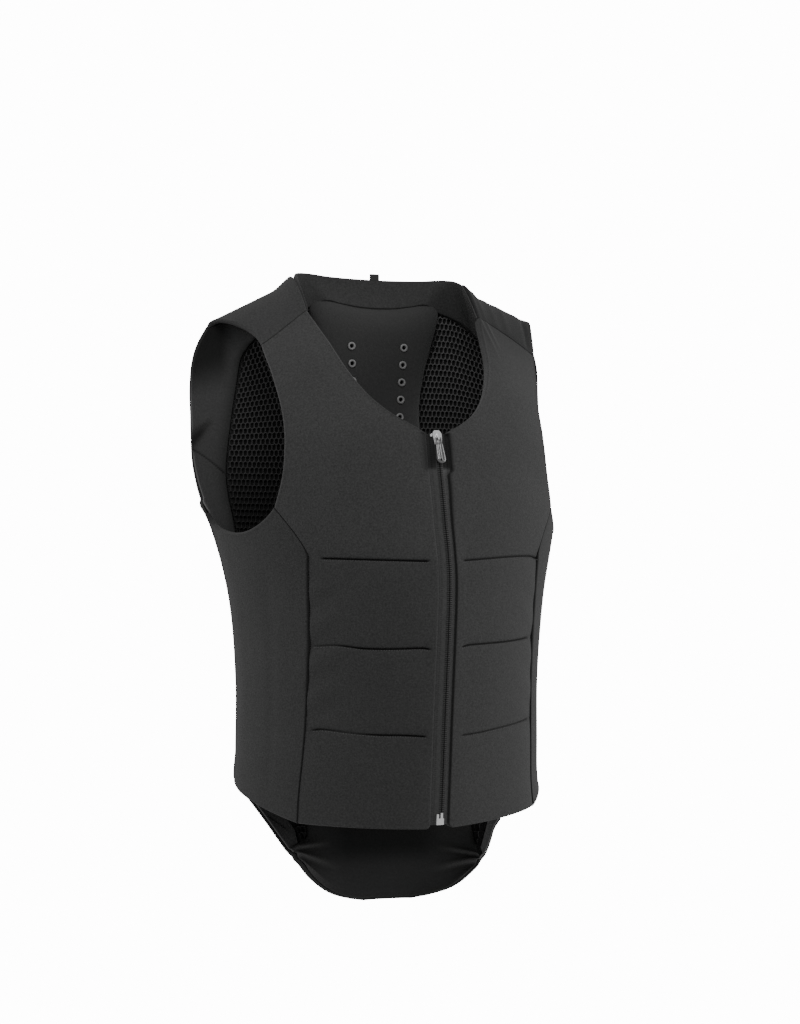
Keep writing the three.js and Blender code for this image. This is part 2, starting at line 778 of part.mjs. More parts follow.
// The bail: an arch over the slider's face that holds the pull's bar.
function bailArch(face) {
  const { half, above, below, wire, room, round, lap } = BAIL;
  const crown = -room - wire;
  const arch = new THREE.Shape()
    .moveTo(-below, lap)
    .lineTo(-below, crown + round)
    .quadraticCurveTo(-below, crown, -below + round, crown)
    .lineTo(above - round, crown)
    .quadraticCurveTo(above, crown, above, crown + round)
    .lineTo(above, lap)
    .lineTo(above - wire, lap)
    .lineTo(above - wire, -room)
    .lineTo(wire - below, -room)
    .lineTo(wire - below, lap)
    .closePath();
  const bail = new THREE.ExtrudeGeometry(arch, { depth: 2 * half, bevelEnabled: false, curveSegments: 3 });
  return bail.translate(0, 0, -half).rotateY(-Math.PI / 2).translate(0, face, 0);
}

function pullSolid() {
  const { bar, wall: thick, eyeHalf, topHalf, eye, tabTop, tabEnd } = PULL;
  const tab = new THREE.Shape()
    .moveTo(-topHalf, bar / 2)
    .lineTo(topHalf, bar / 2)
    .lineTo(topHalf, -eye + 1)
    .lineTo(tabTop, -eye)
    .absarc(0, tabEnd - PULL_LENGTH, tabEnd, 0, -Math.PI, true)
    .lineTo(-tabTop, -eye)
    .lineTo(-topHalf, -eye + 1)
    .closePath();
  const eyeHole = new THREE.Path([
    new THREE.Vector2(-eyeHalf, -bar / 2),
    new THREE.Vector2(-eyeHalf, PULL_EYE_RIM - eye),
    new THREE.Vector2(eyeHalf, PULL_EYE_RIM - eye),
    new THREE.Vector2(eyeHalf, -bar / 2),
  ]);
  const endHole = new THREE.Path(
    Array.from({ length: PULL_HOLE.sides }, (_, k) => {
      const angle = (2 * Math.PI * k) / PULL_HOLE.sides;
      const { radius, up } = PULL_HOLE;
      return new THREE.Vector2(radius * Math.cos(angle), up - PULL_LENGTH + radius * Math.sin(angle));
    }),
  );
  tab.holes.push(eyeHole, endHole);
  return plate(tab, -thick / 2, thick / 2, 10);
}

const BOX = { half: 3.7, tall: 6, prong: 5.2, shortProng: 4.2, prongHalf: 1.1, thick: 1.7, clear: 0.7 };

function zipBox() {
  const { half, tall, prong, shortProng, prongHalf, thick, clear } = BOX;
  const middle = half - prongHalf;
  const outline = new THREE.Shape()
    .moveTo(-half, 0)
    .lineTo(half, 0)
    .lineTo(half, tall)
    .lineTo(middle, tall)
    .lineTo(middle, tall + prong)
    .lineTo(middle - 2 * prongHalf, tall + prong)
    .lineTo(middle - 2 * prongHalf, tall)
    .lineTo(-middle + prongHalf, tall)
    .lineTo(-middle + prongHalf, tall + shortProng)
    .lineTo(-middle - prongHalf, tall + shortProng)
    .lineTo(-half, tall)
    .closePath();
  const back = TAPE_DEPTH - clear;
  return plate(outline, back - thick, back);
}

const STOP = { wide: 2, deep: 1.6, tall: 2.4, x: -6.4, z: 2.2 };

// Assembly

const cloth = { front: 0x343434, side: 0x363636, yoke: 0x3a3a3a, back: 0x2f2f2f, collar: 0x303030 };

for (const side of SIDES) {
  piece(`front_panel_${side.name}`, frontPanel(side), fabric(cloth.front));
  piece(`side_panel_${side.name}`, sidePanel(side), fabric(cloth.side));
  piece(`shoulder_yoke_${side.name}`, shoulderYoke(side), fabric(cloth.yoke));
  piece(`mesh_flank_${side.name}`, meshFlank(side), fabric(0x1c1c1c));
  piece(`edge_facing_${side.name}`, edgeFacing(side), fabric(0x2c2c2c));
}
piece("back_panel", backPanel(), fabric(cloth.back));
piece("back_pad", pierced(padSolid()), fabric(0x2b2b2b));
const ring = eyelet();
for (const { name, seat, inwards } of eyeletPlaces()) {
  piece(name, stand(ring, seat, inwards), fabric(0x5a5a5a, 0.5));
}
piece("collar_band", collarBand(), fabric(cloth.collar));
piece("hanger_loop", hangerLoop(), fabric(0x202020));

const tapeUnder = -TAPE_DEPTH - TAPE_WALL;
const tapeMaterial = fabric(0x353535);
for (const { name, sign, zipEdge } of SIDES) {
  const strip = zipStrip(
    sign * SEAM_GAP * 0.5,
    sign * (zipEdge - SEAM_GAP),
    -TAPE_DEPTH,
    tapeUnder,
    ZIP_BOTTOM,
    ZIP_TOP - SEAM_GAP,
  );
  piece(`zip_tape_${name}`, strip, tapeMaterial);
}
const coilTop = tapeUnder - SEAM_GAP;
piece(
  "zip_coil",
  zipStrip(-COIL_HALF, COIL_HALF, coilTop, coilTop - COIL_WALL, ZIP_BOTTOM + 2, ZIP_TOP - 1),
  fabric(0x222222, 0.5),
);

const steel = metal(0xb8b8b8);
const sliderFrame = zipFrame(SLIDER.z);
piece("zip_slider", sliderSolid(), steel, sliderFrame);
const pull = piece("zip_pull", pullSolid(), steel, sliderFrame);
pull.position.set(0, TAPE_DEPTH - SEAM_GAP - SLIDER.plate - PIVOT.out, PIVOT.up);
const stop = new THREE.BoxGeometry(STOP.wide, STOP.deep, STOP.tall);
stop.translate(STOP.x, TAPE_DEPTH - SEAM_GAP - STOP.deep / 2, STOP.z);
piece("zip_top_stop", stop, steel, sliderFrame);
piece("zip_box", zipBox(), steel, zipFrame(ZIP_BOTTOM));

export default vest;
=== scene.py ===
import bpy
import numpy as np
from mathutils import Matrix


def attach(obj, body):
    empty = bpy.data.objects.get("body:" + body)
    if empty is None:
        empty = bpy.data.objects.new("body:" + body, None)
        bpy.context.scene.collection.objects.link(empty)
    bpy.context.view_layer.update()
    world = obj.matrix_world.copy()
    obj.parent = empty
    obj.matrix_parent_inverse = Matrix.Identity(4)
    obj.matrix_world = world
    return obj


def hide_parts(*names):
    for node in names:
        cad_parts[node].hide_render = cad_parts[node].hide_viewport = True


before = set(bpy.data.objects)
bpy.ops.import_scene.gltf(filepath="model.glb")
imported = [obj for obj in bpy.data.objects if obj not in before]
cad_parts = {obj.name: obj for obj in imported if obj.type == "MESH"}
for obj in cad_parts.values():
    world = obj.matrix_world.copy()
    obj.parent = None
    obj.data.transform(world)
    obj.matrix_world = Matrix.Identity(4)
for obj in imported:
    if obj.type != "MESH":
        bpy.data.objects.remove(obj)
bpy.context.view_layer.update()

# Back panel: one shell of stretch cloth bonded to thin foam, cut from the shoulder seams down to a
# long rounded tail. The tail's edge is gathered on both sides, so the tail curls in under the hem.
MM = 0.001
TAU = 2 * np.pi

# Rings of the worn form: height, half width in front and behind, depth in front and behind,
# depth where front meets back, and how square the front and the back of the ring are.
TORSO = np.array(
    [
        [-640, 160, 60, 156, -18, -70, 1.8, 2.2],
        [-615, 160, 90, 156, -10, -63, 1.8, 2.2],
        [-590, 160, 110, 156, -1, -54, 1.8, 2.2],
        [-565, 160, 126, 156, 6, -46, 1.8, 2.3],
        [-535, 160, 145, 156, 15, -31, 1.8, 2.6],
        [-505, 160, 160, 159, 22, -18, 1.8, 2.7],
        [-470, 159, 159, 163, 25, -18, 1.8, 2.8],
        [-400, 158.5, 158.5, 169, 26, -18, 1.8, 3.0],
        [-320, 165.5, 165.5, 172, 29, -18, 1.8, 3.0],
        [-250, 180, 182.5, 168, 32, -12, 1.85, 3.4],
        [-200, 184, 207, 160, 33, -12, 1.9, 3.8],
        [-150, 182, 219, 144, 32, -12, 2.0, 4.0],
        [-88, 178, 222, 100, 30, -8, 2.1, 4.0],
        [-40, 178, 209, 48, 27, -2, 2.2, 4.0],
        [0, 178, 190, 6, 22, 0, 2.2, 4.0],
    ]
)
SIDE_BLEND = 0.17
NECK_HALF = 93
SHOULDER_SLOPE = 0.46
SHOULDER_SOFTNESS = 10
SLOPE_FROM = -200
TAIL_TILT = 0.042
TILT_MIDDLE = -16
TILT_RINGS = (-535, -600)


def ramp(at, start, stop):
    """0 up to start, 1 from stop on, and straight on the way; stop may lie on either side of start."""
    return np.clip((at - start) / (stop - start), 0, 1)


def fade(at, start, stop):
    """A ramp t with soft ends, 3t^2 - 2t^3."""
    t = ramp(at, start, stop)
    return t * t * (3 - 2 * t)


def rise_and_fall(at, low, full, past, end):
    """0 up to low, 1 from full to past, and 0 again from end on: two fades multiplied."""
    return fade(at, low, full) * fade(at, end, past)


def mix(a, b, t):
    """Straight blend from a at t = 0 to b at t = 1."""
    return a + (b - a) * t


def bell(distance, width):
    """1 at no distance, falling off on both sides as exp(-(distance / width)^2)."""
    return np.exp(-((distance / width) ** 2))


def unit(vectors):
    """The vectors, each divided by its length."""
    return vectors / np.linalg.norm(vectors, axis=-1, keepdims=True)


def through_rows(table, at):
    """Cubic pieces through a table's rows, keyed by its first column; the slope at a row is the one from
    the row before to the row after. It gives each of the other columns, or the only one by itself."""
    keys, rows = table[:, 0], table[:, 1:]
    at = np.clip(at, keys[0], keys[-1])
    k = np.clip(np.searchsorted(keys, at, side="right") - 1, 0, len(keys) - 2)
    before = np.maximum(np.arange(len(keys)) - 1, 0)
    after = np.minimum(np.arange(len(keys)) + 1, len(keys) - 1)
    slope = (rows[after] - rows[before]) / (keys[after] - keys[before])[:, None]
    span = (keys[k + 1] - keys[k])[..., None]
    t = (at - keys[k])[..., None] / span
    low = (2 * t**3 - 3 * t**2 + 1) * rows[k] + (t**3 - 2 * t**2 + t) * span * slope[k]
    high = (3 * t**2 - 2 * t**3) * rows[k + 1] + (t**3 - t**2) * span * slope[k + 1]
    found = np.moveaxis(low + high, -1, 0)
    return found[0] if len(found) == 1 else found


def droop(x, ring):
    """Fall of the shoulder: a slope that starts softly at the neck point and fades out down the chest."""
    past = np.abs(x) - NECK_HALF
    beyond = (np.hypot(past, SHOULDER_SOFTNESS) + past) / 2
    return SHOULDER_SLOPE * fade(ring, SLOPE_FROM, 0) * beyond


def tail_tilt(x, ring):
    """How much lower the tail hangs towards the wearer's left: it grows with x, and from the hem down."""
    return TAIL_TILT * (x - TILT_MIDDLE) * fade(ring, *TILT_RINGS)


def torso(turn, ring):
    """Point of the worn form in mm: a ring is a superellipse, |x/w|^n + |y/d|^n = 1, whose front and back
    halves have their own width, depth and n; turn 0 is the front middle and half a turn the back middle."""
    front_width, back_width, front, back, side, front_square, back_square = through_rows(TORSO, ring)
    cos, sin = np.cos(turn), np.sin(turn)
    behind = fade(cos, SIDE_BLEND, -SIDE_BLEND)
    width = mix(front_width, back_width, behind)
    depth = mix(front + side, back - side, behind)
    square = mix(front_square, back_square, behind)
    reach = (np.abs(sin) ** square + np.abs(cos) ** square) ** (-1 / square)
    x = width * sin * reach
    return np.stack([x, side - depth * cos * reach, ring - droop(x, ring) - tail_tilt(x, ring)], -1)


def turn_at(x, ring, behind=False):
    """The turn at which a ring passes a distance x from the middle, from the ring's superellipse."""
    front_width, back_width, _, _, _, front_square, back_square = through_rows(TORSO, ring)
    width, square = (back_width, back_square) if behind else (front_width, front_square)
    share = np.minimum(1, np.abs(x) / width)
    turn = np.arctan2(share, (1 - share**square) ** (1 / square))
    return np.where(x < 0, -1, 1) * (np.pi - turn if behind else turn)


def outward(turn, ring):
    """Unit normal of the worn form: cross product of its steps round the ring and up the body."""
    along = torso(turn + 0.002, ring) - torso(turn - 0.002, ring)
    up = torso(turn, ring + 0.4) - torso(turn, ring - 0.4)
    return unit(np.cross(along, up))


def lifted(turn, ring, lift):
    """A point that stands off the worn form by lift mm along its normal."""
    return torso(turn, ring) + outward(turn, ring) * np.asarray(lift)[..., None]


def spaced(count, length, roll):
    """Shares from 0 to 1 along a length: even in the middle, and closing up like a quarter circle over the
    roll at both ends."""
    near = roll * (1 - np.cos(np.linspace(0, np.pi / 2, 6)))
    middle = np.linspace(roll, length - roll, count)[1:-1]
    return np.concatenate([near, middle, length - near[::-1]]) / length


def grid(rows, columns):
    """Both parameters at every point of a grid, with one row for each value of the first."""
    return np.meshgrid(rows, columns, indexing="ij")


def to_edges(points):
    """Millimetres along the grid from each point to the first and last column, and first and last row."""
    found = []
    for axis in (1, 0):
        step = np.linalg.norm(np.diff(points, axis=axis), axis=-1)
        run = np.cumsum(step, axis=axis)
        run = np.concatenate([np.zeros_like(run.take([0], axis)), run], axis)
        found += [run, run.take([-1], axis) - run]
    return found


def bullnose(distance, radius):
    """How far a face sinks near its edge: a quarter circle of that radius."""
    t = np.clip(1 - distance / radius, 0, 1)
    return radius * (1 - np.sqrt(1 - t**2))


TURN_IN = 2.2
TURN_WIDTH = 1.3


def turned_edge(distance, height=0.5):
    """Low ridge along a turned-in edge: a bell whose middle lies a little way in from the edge."""
    return height * bell(distance - TURN_IN, TURN_WIDTH)


def make_piece(name, points, faces, finish, uv=None, marks=None):
    """A mesh of quads from points in mm, with a UV map in mm and named values at its points."""
    mesh = bpy.data.meshes.new(name)
    mesh.vertices.add(len(points))
    mesh.vertices.foreach_set("co", (points * MM).astype(np.float32).ravel())
    mesh.loops.add(faces.size)
    mesh.loops.foreach_set("vertex_index", faces.astype(np.int32).ravel())
    mesh.polygons.add(len(faces))
    mesh.polygons.foreach_set("loop_start", np.arange(0, faces.size, 4, dtype=np.int32))
    mesh.update(calc_edges=True)
    mesh.shade_smooth()
    if uv is not None:
        layer = mesh.uv_layers.new(name="cloth")
        layer.uv.foreach_set("vector", uv[faces.ravel()].astype(np.float32).ravel())
    for mark, values in (marks or {}).items():
        layer = mesh.attributes.new(mark, "FLOAT", "POINT")
        layer.data.foreach_set("value", values.astype(np.float32).ravel())
    mesh.materials.append(finish)
    made = bpy.data.objects.new(name, mesh)
    bpy.context.scene.collection.objects.link(made)
    return made


def grid_faces(index):
    """Quads between neighbouring rows and columns of a grid, or of many grids, of point numbers."""
    corners = [index[..., :-1, :-1], index[..., :-1, 1:], index[..., 1:, 1:], index[..., 1:, :-1]]
    return np.stack(corners, -1).reshape(-1, 4)


def outwards(points, faces):
    """The faces, all turned round if the volume that they enclose comes out negative."""
    a, b, c, d = (points[faces[:, k]] for k in range(4))
    volume = np.sum(a * (np.cross(b, c) + np.cross(c, d)))
    return faces if volume > 0 else faces[:, ::-1]


def wall_piece(name, outer, inner, finish, shade=0, rim=0):
    """Two matching grids joined round their rim into one closed wall. The UV map is the outer grid's arc
    lengths in mm; the mark shade is 1 where painted shade is darkest, as deep in a seam or fold, and the
    mark rim is 1 where a painted highlight is brightest, as along an edge or a ridge."""
    rows, columns = outer.shape[:2]
    index = np.arange(rows * columns).reshape(rows, columns)
    border = np.concatenate([index[0], index[1:, -1], index[-1, -2::-1], index[-2:0:-1, 0]])
    after = np.roll(border, -1)
    skirt = np.stack([after, border, border + index.size, after + index.size], -1)
    face = grid_faces(index)
    faces = np.concatenate([face, face[:, ::-1] + index.size, skirt])
    points = np.concatenate([outer.reshape(-1, 3), inner.reshape(-1, 3)])
    across, _, up, _ = to_edges(outer)
    uv = np.stack([across, np.broadcast_to(up[:, [columns // 2]], across.shape)], -1).reshape(-1, 2)
    both = (2, rows, columns)
    marks = {"shade": np.broadcast_to(shade, both), "rim": np.broadcast_to(rim, both)}
    return make_piece(name, points, outwards(points, faces), finish, np.concatenate([uv, uv]), marks)


class Socket:
    """A value in a material; arithmetic on it adds Math nodes."""

    def __init__(self, finish, output):
        self.finish = finish
        self.output = output

    def math(self, operation, *others):
        return self.finish.node("Math", {"operation": operation}, dict(enumerate((self, *others))))

    def clamp(self):
        return self.math("MINIMUM", 1).math("MAXIMUM", 0)

    def __add__(self, other):
        return self.math("ADD", other)

    def __sub__(self, other):
        return self.math("SUBTRACT", other)

    def __mul__(self, other):
        return self.math("MULTIPLY", other)

    def __rsub__(self, other):
        return self * -1 + other

    __radd__ = __add__
    __rmul__ = __mul__


class Finish:
    """One material: the shader's constant values, and nodes by type, settings and socket values."""

    def __init__(self, name, **constants):
        self.material = bpy.data.materials.new(name)
        self.material.use_nodes = True
        self.tree = self.material.node_tree
        self.shader = self.tree.nodes["Principled BSDF"]
        for key, value in constants.items():
            self.feed(self.shader.inputs[key.replace("_", " ").title().replace("Ior", "IOR")], value)

    def feed(self, socket, value):
        if isinstance(value, Socket):
            self.tree.links.new(value.output, socket)
        else:
            socket.default_value = value

    def node(self, kind, settings=None, sockets=None, output=0):
        made = self.tree.nodes.new("ShaderNode" + kind)
        for key, value in (settings or {}).items():
            setattr(made, key, value)
        for key, value in (sockets or {}).items():
            self.feed(made.inputs[key], value)
        return Socket(self, made.outputs[output])

    def blend(self, share, low, high):
        return self.node("Mix", {"data_type": "RGBA"}, {0: share, 6: low, 7: high}, 2)

    def noise(self, scale, detail=2.0):
        place = self.node("TexCoord", output=3)
        return self.node("TexNoise", None, {"Vector": place, "Scale": scale, "Detail": detail})

    def mark(self, name):
        return self.node("Attribute", {"attribute_name": name}, output=2)


def grey(value):
    """An even grey as a colour."""
    return (value, value, value, 1)


def stretch_cloth(name, tone, fleck=0.3, rib=1.05):
    """Charcoal stretch cloth: upright ribs crossed by a weft, flecked yarn, painted shade where the mark
    shade is set, as in seams and folds, and painted highlights where the mark rim is set.
    """
    made = Finish(name, roughness=0.85, sheen_weight=0.12, sheen_roughness=0.5, specular_ior_level=0.25)
    place = made.node("UVMap", {"uv_map": "cloth"})
    across = made.node("SeparateXYZ", None, {0: place}, 0)
    up = made.node("SeparateXYZ", None, {0: place}, 1)
    ribs = (across * (TAU / rib)).math("SINE")
    weft = (up * (TAU / (rib * 1.3)) + ribs).math("SINE")
    yarn = made.noise(620, 3.0)
    drift = made.noise(14, 3.0)
    light = ribs * weft * 0.12 + (yarn - 0.5) * 2.4 + (drift - 0.5) * 0.5 + 0.5
    cloth = made.blend(light.clamp(), grey(tone * (1 - fleck)), grey(tone * (1 + fleck)))
    cloth = made.blend(made.mark("rim"), cloth, grey(tone * 2.6))
    made.feed(made.shader.inputs["Base Color"], made.blend(made.mark("shade"), cloth, grey(tone * 0.05)))
    height = ribs * weft * 0.5 + yarn
    bump = made.node("Bump", None, {"Strength": 0.3, "Distance": 0.0004, "Height": height})
    made.feed(made.shader.inputs["Normal"], bump)
    return made.material


def sew(piece, node):
    """A finished piece moves with the vest and takes a solid's place: the solid is hidden."""
    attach(piece, "vest")
    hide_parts(node)


SHELL_WALL = 2.5
SHELL_ROLL = 1.15
HEM_STITCH = 5.5

# Edges of the back: ring and distance from the middle, round the tail and round the armhole.
TAIL_EDGE = np.array(
    [
        [-631, 26], [-627, 46], [-619, 68], [-606, 87], [-588, 104], [-565, 118], [-543, 130],
        [-521, 145], [-508, 155],
    ]
)
ARMHOLE_BACK = np.array(
    [
        [-224, 188.5], [-208, 192], [-185, 195.5], [-150, 196.5], [-112, 196.5], [-75, 195], [-50, 194],
        [-34, 191.5], [-22, 187], [-10.4, 179],
    ]
)
SIDE_SEAM = np.radians(100)
SEAM_TURN = 0.002
HEM_CORNER = (-508, -498)
ARMHOLE_CORNER = (-238, -224)
LEFT_FLARE = 3.5
FLARE_RINGS = (-566, -554, -540, -515)

# How far the shoulder's edge is moved out on each side: 1 is the wearer's left and -1 the right.
ARM_SHIFT = {1: -5, -1: 2.7}

# Gathers at the tail: where each fold starts, its direction, length, depth and width.
GATHERS = np.array(
    [
        [-108, -574, 0, 54, 3.6, 1.6],
        [-108, -578, -19, 64, 4.4, 1.8],
        [-105, -584, -40, 56, 4.0, 1.9],
        [101, -595, 168, 50, 3.4, 1.6],
        [100, -599, 189, 58, 4.2, 1.8],
        [96, -605, 212, 42, 3.2, 1.9],
    ]
)


def tail_edge_turn(ring, left):
    """Turn from the back's middle to its edge: along the tail, up the side seam and round the armhole, with
    a straight run through each corner. The left shoulder is drawn in, and the right one eased out."""
    flare = LEFT_FLARE * left * rise_and_fall(ring, *FLARE_RINGS)
    tail_x = through_rows(TAIL_EDGE, ring) + flare
    tail = np.pi - turn_at(tail_x, ring, True)
    arm_x = through_rows(ARMHOLE_BACK, ring)
    shift = np.where(left, ARM_SHIFT[1] * fade(ring, -190, -120), ARM_SHIFT[-1] * fade(ring, -130, -70))
    arm = np.pi - turn_at(arm_x + shift, ring, True)
    seam = np.pi - SIDE_SEAM - SEAM_TURN
    return mix(mix(tail, seam, ramp(ring, *HEM_CORNER)), arm, ramp(ring, *ARMHOLE_CORNER))


def gathers(x, z):
    """Height of the tail's folds, and the painted shade in the valleys between them: ridges that start sharp
    at the edge, widen inwards and die out."""
    depth = np.zeros_like(x)
    around = np.zeros_like(x)
    for start_x, start_z, angle, length, deep, width in GATHERS:
        way = np.radians(angle)
        along = (x - start_x) * np.cos(way) + (z - start_z) * np.sin(way)
        across = (z - start_z) * np.cos(way) - (x - start_x) * np.sin(way)
        spread = width * (1 + np.maximum(along, 0) / 55)
        here = rise_and_fall(along, -8, 2, 0, length)
        depth += deep * here * bell(across, spread)
        around = np.maximum(around, here * bell(across, 2.4 * spread))
    return depth, np.clip(around - depth / 2.6, 0, 1)


charcoal_back = stretch_cloth("charcoal_back_cloth", 0.036)
tail_foot = TAIL_EDGE[0, 0]
back_length = ARMHOLE_BACK[-1, 0] - tail_foot
ring, share = grid(tail_foot + back_length * spaced(200, back_length, 3), 2 * spaced(118, 400, 3) - 1)
turn = np.pi - share * tail_edge_turn(ring, share > 0)
flat = torso(turn, ring)
fold, _ = gathers(flat[..., 0], flat[..., 2])
edge = np.minimum.reduce(to_edges(flat))
roll = bullnose(edge, SHELL_ROLL)
back_shell = wall_piece(
    "back_shell",
    lifted(turn, ring, turned_edge(edge) - roll - 0.5 * fold),
    lifted(turn, ring, roll - SHELL_WALL - fold),
    charcoal_back,
    0.6 * bell(edge - HEM_STITCH, 0.8),
)
sew(back_shell, "back_panel")

# Spine pad: a thick foam plate in a smooth cover, sewn to the back under the collar. It is waisted
# between the shoulder blades, widens towards the tail and thins out there.
LINING_GAP = 1.3
LINING = -SHELL_WALL - LINING_GAP

# Ring, half width and thickness.
PAD = np.array(
    [
        [-629, 130, 1.2], [-586, 130, 2.2], [-581, 106, 2.6], [-576, 94, 3.0], [-572, 92, 3.5],
        [-545, 91, 8], [-505, 88, 14], [-450, 82, 16], [-380, 74, 16], [-300, 65, 16], [-220, 57, 16],
        [-160, 52, 16], [-124, 50.5, 16], [-92, 55, 16], [-68, 61, 16], [-45, 67, 16], [-32, 70, 12.5],
        [-26, 71.5, 8.5], [-21.4, 71.5, 5],
    ]
)
PAD_TOP = PAD[-1, 0]
PAD_EAR_FROM = -60
PAD_EAR = (13, 15)
PAD_RIM = 0.35
FOLDS_TOP = -540
UNDER_HEM = (-603, -579, -530, -500)
TAIL_LEAN = 7
TAIL_MARGIN = 1.2
SEAM_DROP = {1: 15, -1: -9}


def tail_lean(ring):
    """How far the lining's seams lie over to the wearer's left in the tail."""
    return TAIL_LEAN * fade(ring, -490, -560)


def pad_edge(level, sign):
    """Distance from the middle to the pad's side seam: it leans with the tail, and runs out to the tail's
    edge lower down on the wearer's left than on the right."""
    shifted = level + SEAM_DROP[sign] * fade(level, -530, -560)
    return through_rows(PAD[:, :2], shifted) + sign * tail_lean(level)


def inside_tail(x, ring):
    """The distance from the middle, kept just inside the tail's edge."""
    limit = through_rows(TAIL_EDGE, ring) - TAIL_MARGIN
    return np.where(ring < TAIL_EDGE[-1, 0], np.clip(x, -limit, limit), x)


def lining_lift(turn, ring):
    """Where a lining's outer face lies: clear of the shell, and following the tail's folds."""
    here = torso(turn, ring)
    return LINING - gathers(here[..., 0], here[..., 2])[0]


pad_cover = stretch_cloth("smooth_pad_cover", 0.043, fleck=0.14, rib=0.8)
tail_rows = np.linspace(PAD[0, 0], FOLDS_TOP, 76)[:-1]
upper_length = PAD_TOP - FOLDS_TOP
upper_rows = FOLDS_TOP + upper_length * spaced(140, upper_length, 3)[5:]
level, share = grid(np.concatenate([tail_rows, upper_rows]), 2 * spaced(110, 160, 2) - 1)
thick = through_rows(PAD[:, [0, 2]], level)
ear = PAD_EAR[0] * share**2 - PAD_EAR[1] * share**8
ring = level + ear * fade(level, PAD_EAR_FROM, PAD_TOP)
right_edge = -inside_tail(pad_edge(level, -1), level)
left_edge = inside_tail(pad_edge(level, 1), level)
x = mix(right_edge, left_edge, (1 + share) / 2)
turn = turn_at(x, ring, True)
top = lining_lift(turn, ring)
flat = torso(turn, ring)
# Painted shade on the pad: the hem's shadow, the tail darker below the folds' top and more at its foot, and
# the valleys between the gathers. The gathers' ridges get a painted highlight.
ridge, between = gathers(flat[..., 0], flat[..., 2])
on_fold = np.clip(ridge / 2.5, 0, 1)
at_side = fade(np.abs(x), 35, 75)
under_hem = rise_and_fall(ring, *UNDER_HEM)
hem_shadow = 0.6 * under_hem * (1 - 0.8 * on_fold) * (1 - 0.4 * at_side)
tail_shade = (0.3 - 0.16 * at_side) * fade(ring, FOLDS_TOP, -560) + 0.1 * fade(ring, -606, -626)
crown = mix(PAD_RIM, 1, (1 - np.abs(share) ** 6) ** (1 / 3))
spine_pad = wall_piece(
    "spine_pad",
    lifted(turn, ring, top),
    lifted(turn, ring, top - thick * crown),
    pad_cover,
    np.clip(tail_shade + hem_shadow + 0.95 * between, 0, 1),
    0.22 * ridge,
)
sew(spine_pad, "back_pad")

# Mesh flanks: black spacer mesh on both sides of the pad, a net of upright six-sided holes over a
# dark backing. Its edges are tucked under the pad and the edge facing.
SIDES = ((1, "left"), (-1, "right"))
MESH_WALL = 5
MESH_BACKING = 2.6
LINING_SEAM = 0.8

# Outer edge: ring and distance from the middle.
MESH_EDGE = np.array(
    [
        [-577, 94.9], [-560, 103.5], [-545, 112], [-520, 125], [-470, 138], [-400, 143], [-310, 148],
        [-252, 152], [-222, 157], [-199, 159], [-172, 157], [-137, 153], [-88, 147], [-62, 143],
        [-52, 136], [-44, 126],
    ]
)

# Sloping rows: ring at the outer edge, and ring at the pad. Upper edge: distance from the middle, and ring.
MESH_TOP = np.array([[-577, -577], [-78, -78], [-62, -57], [-52, -42], [-44, -30]])
MESH_TOP_LINE = np.array(
    [[72, -27], [80, -29], [98, -35], [113, -40], [126, -44], [136, -52], [143, -62], [147, -88]]
)
CORNER_RING, CORNER_X = MESH_EDGE[-1]
NET_BOX = (-585, -24, 48, 164)
NET_EDGE_FALL = 2.2

# Net: pitch across and up, half width of the strands, share of the height in the peaks, depth of a hole.
CELL = {"pitch": 4.8, "row": 6.2, "strand_across": 0.6, "strand_up": 0.6, "peak": 0.59, "deep": 2.2}

mesh_yarn = Finish("mesh_yarn", roughness=0.6, specular_ior_level=0.3)
strand = mesh_yarn.noise(900)
place = mesh_yarn.node("TexCoord", output=3)
across = mesh_yarn.node("SeparateXYZ", None, {0: place}, 0)
height = mesh_yarn.node("SeparateXYZ", None, {0: place}, 2)

# Painted light: the yarn is painted lighter where light comes in, at the neck on the wearer's left and at
# the armhole on the right, and near black elsewhere.
left_light = ((height + 0.2) * 8).clamp() * (1.2 - across * 4.5)
right_light = ((height + 0.235) * 14).clamp() * 0.42
on_left = (across * 1000).clamp()
lit = left_light * on_left + right_light * (1 - on_left)
yarn = mesh_yarn.blend(strand, grey(0.072), grey(0.148))
mesh_yarn.feed(mesh_yarn.shader.inputs["Base Color"], mesh_yarn.blend(lit, grey(0.012), yarn))


def speckled(name, scale, low, high, **constants):
    """A finish whose grey wanders in specks between two tones; scale is the number of specks to a metre."""
    made = Finish(name, **constants)
    made.feed(made.shader.inputs["Base Color"], made.blend(made.noise(scale), grey(low), grey(high)))
    return made


mesh_backing = speckled("mesh_backing", 700, 0.012, 0.034, roughness=0.9, specular_ior_level=0.1)


def mesh_outer(v, sign):
    """Distance from the middle to the mesh's outer edge; in the tail it leans to the wearer's left."""
    lean = tail_lean(v)
    if sign > 0:
        return through_rows(MESH_EDGE, v + 0.8 * lean) + lean
    return through_rows(MESH_EDGE, v) - lean * fade(v, -575, -555)


def flank_place(u, v, sign):
    """Ring and distance from the middle on a flank: u runs from the pad's edge to the facing,
    v is the ring at the facing, and the rows slope with the shoulder near the top."""
    pad_ring = np.interp(v, MESH_TOP[:, 0], MESH_TOP[:, 1])
    inside = pad_edge(pad_ring, sign) + LINING_SEAM
    outside = np.maximum(mesh_outer(v, sign), inside + 0.2)
    return mix(pad_ring, v, u), mix(inside, outside, u), inside, outside


def closed_rows(points):
    """Numbers of the points of a grid, or of many grids, with the first of each row once more at its end."""
    index = np.arange(points[..., 0].size).reshape(points.shape[:-1])
    return np.concatenate([index, index[..., :1]], -1)


def net_cells(low, high, left, right):
    """Centres of a staggered net that covers a box: every second row moves over by half a pitch."""
    rows = np.arange(low, high, CELL["row"])
    columns = np.arange(left, right, CELL["pitch"])
    z, x = grid(rows, columns)
    x = x + (np.arange(len(rows)) % 2)[:, None] * CELL["pitch"] / 2
    return x.ravel(), z.ravel()


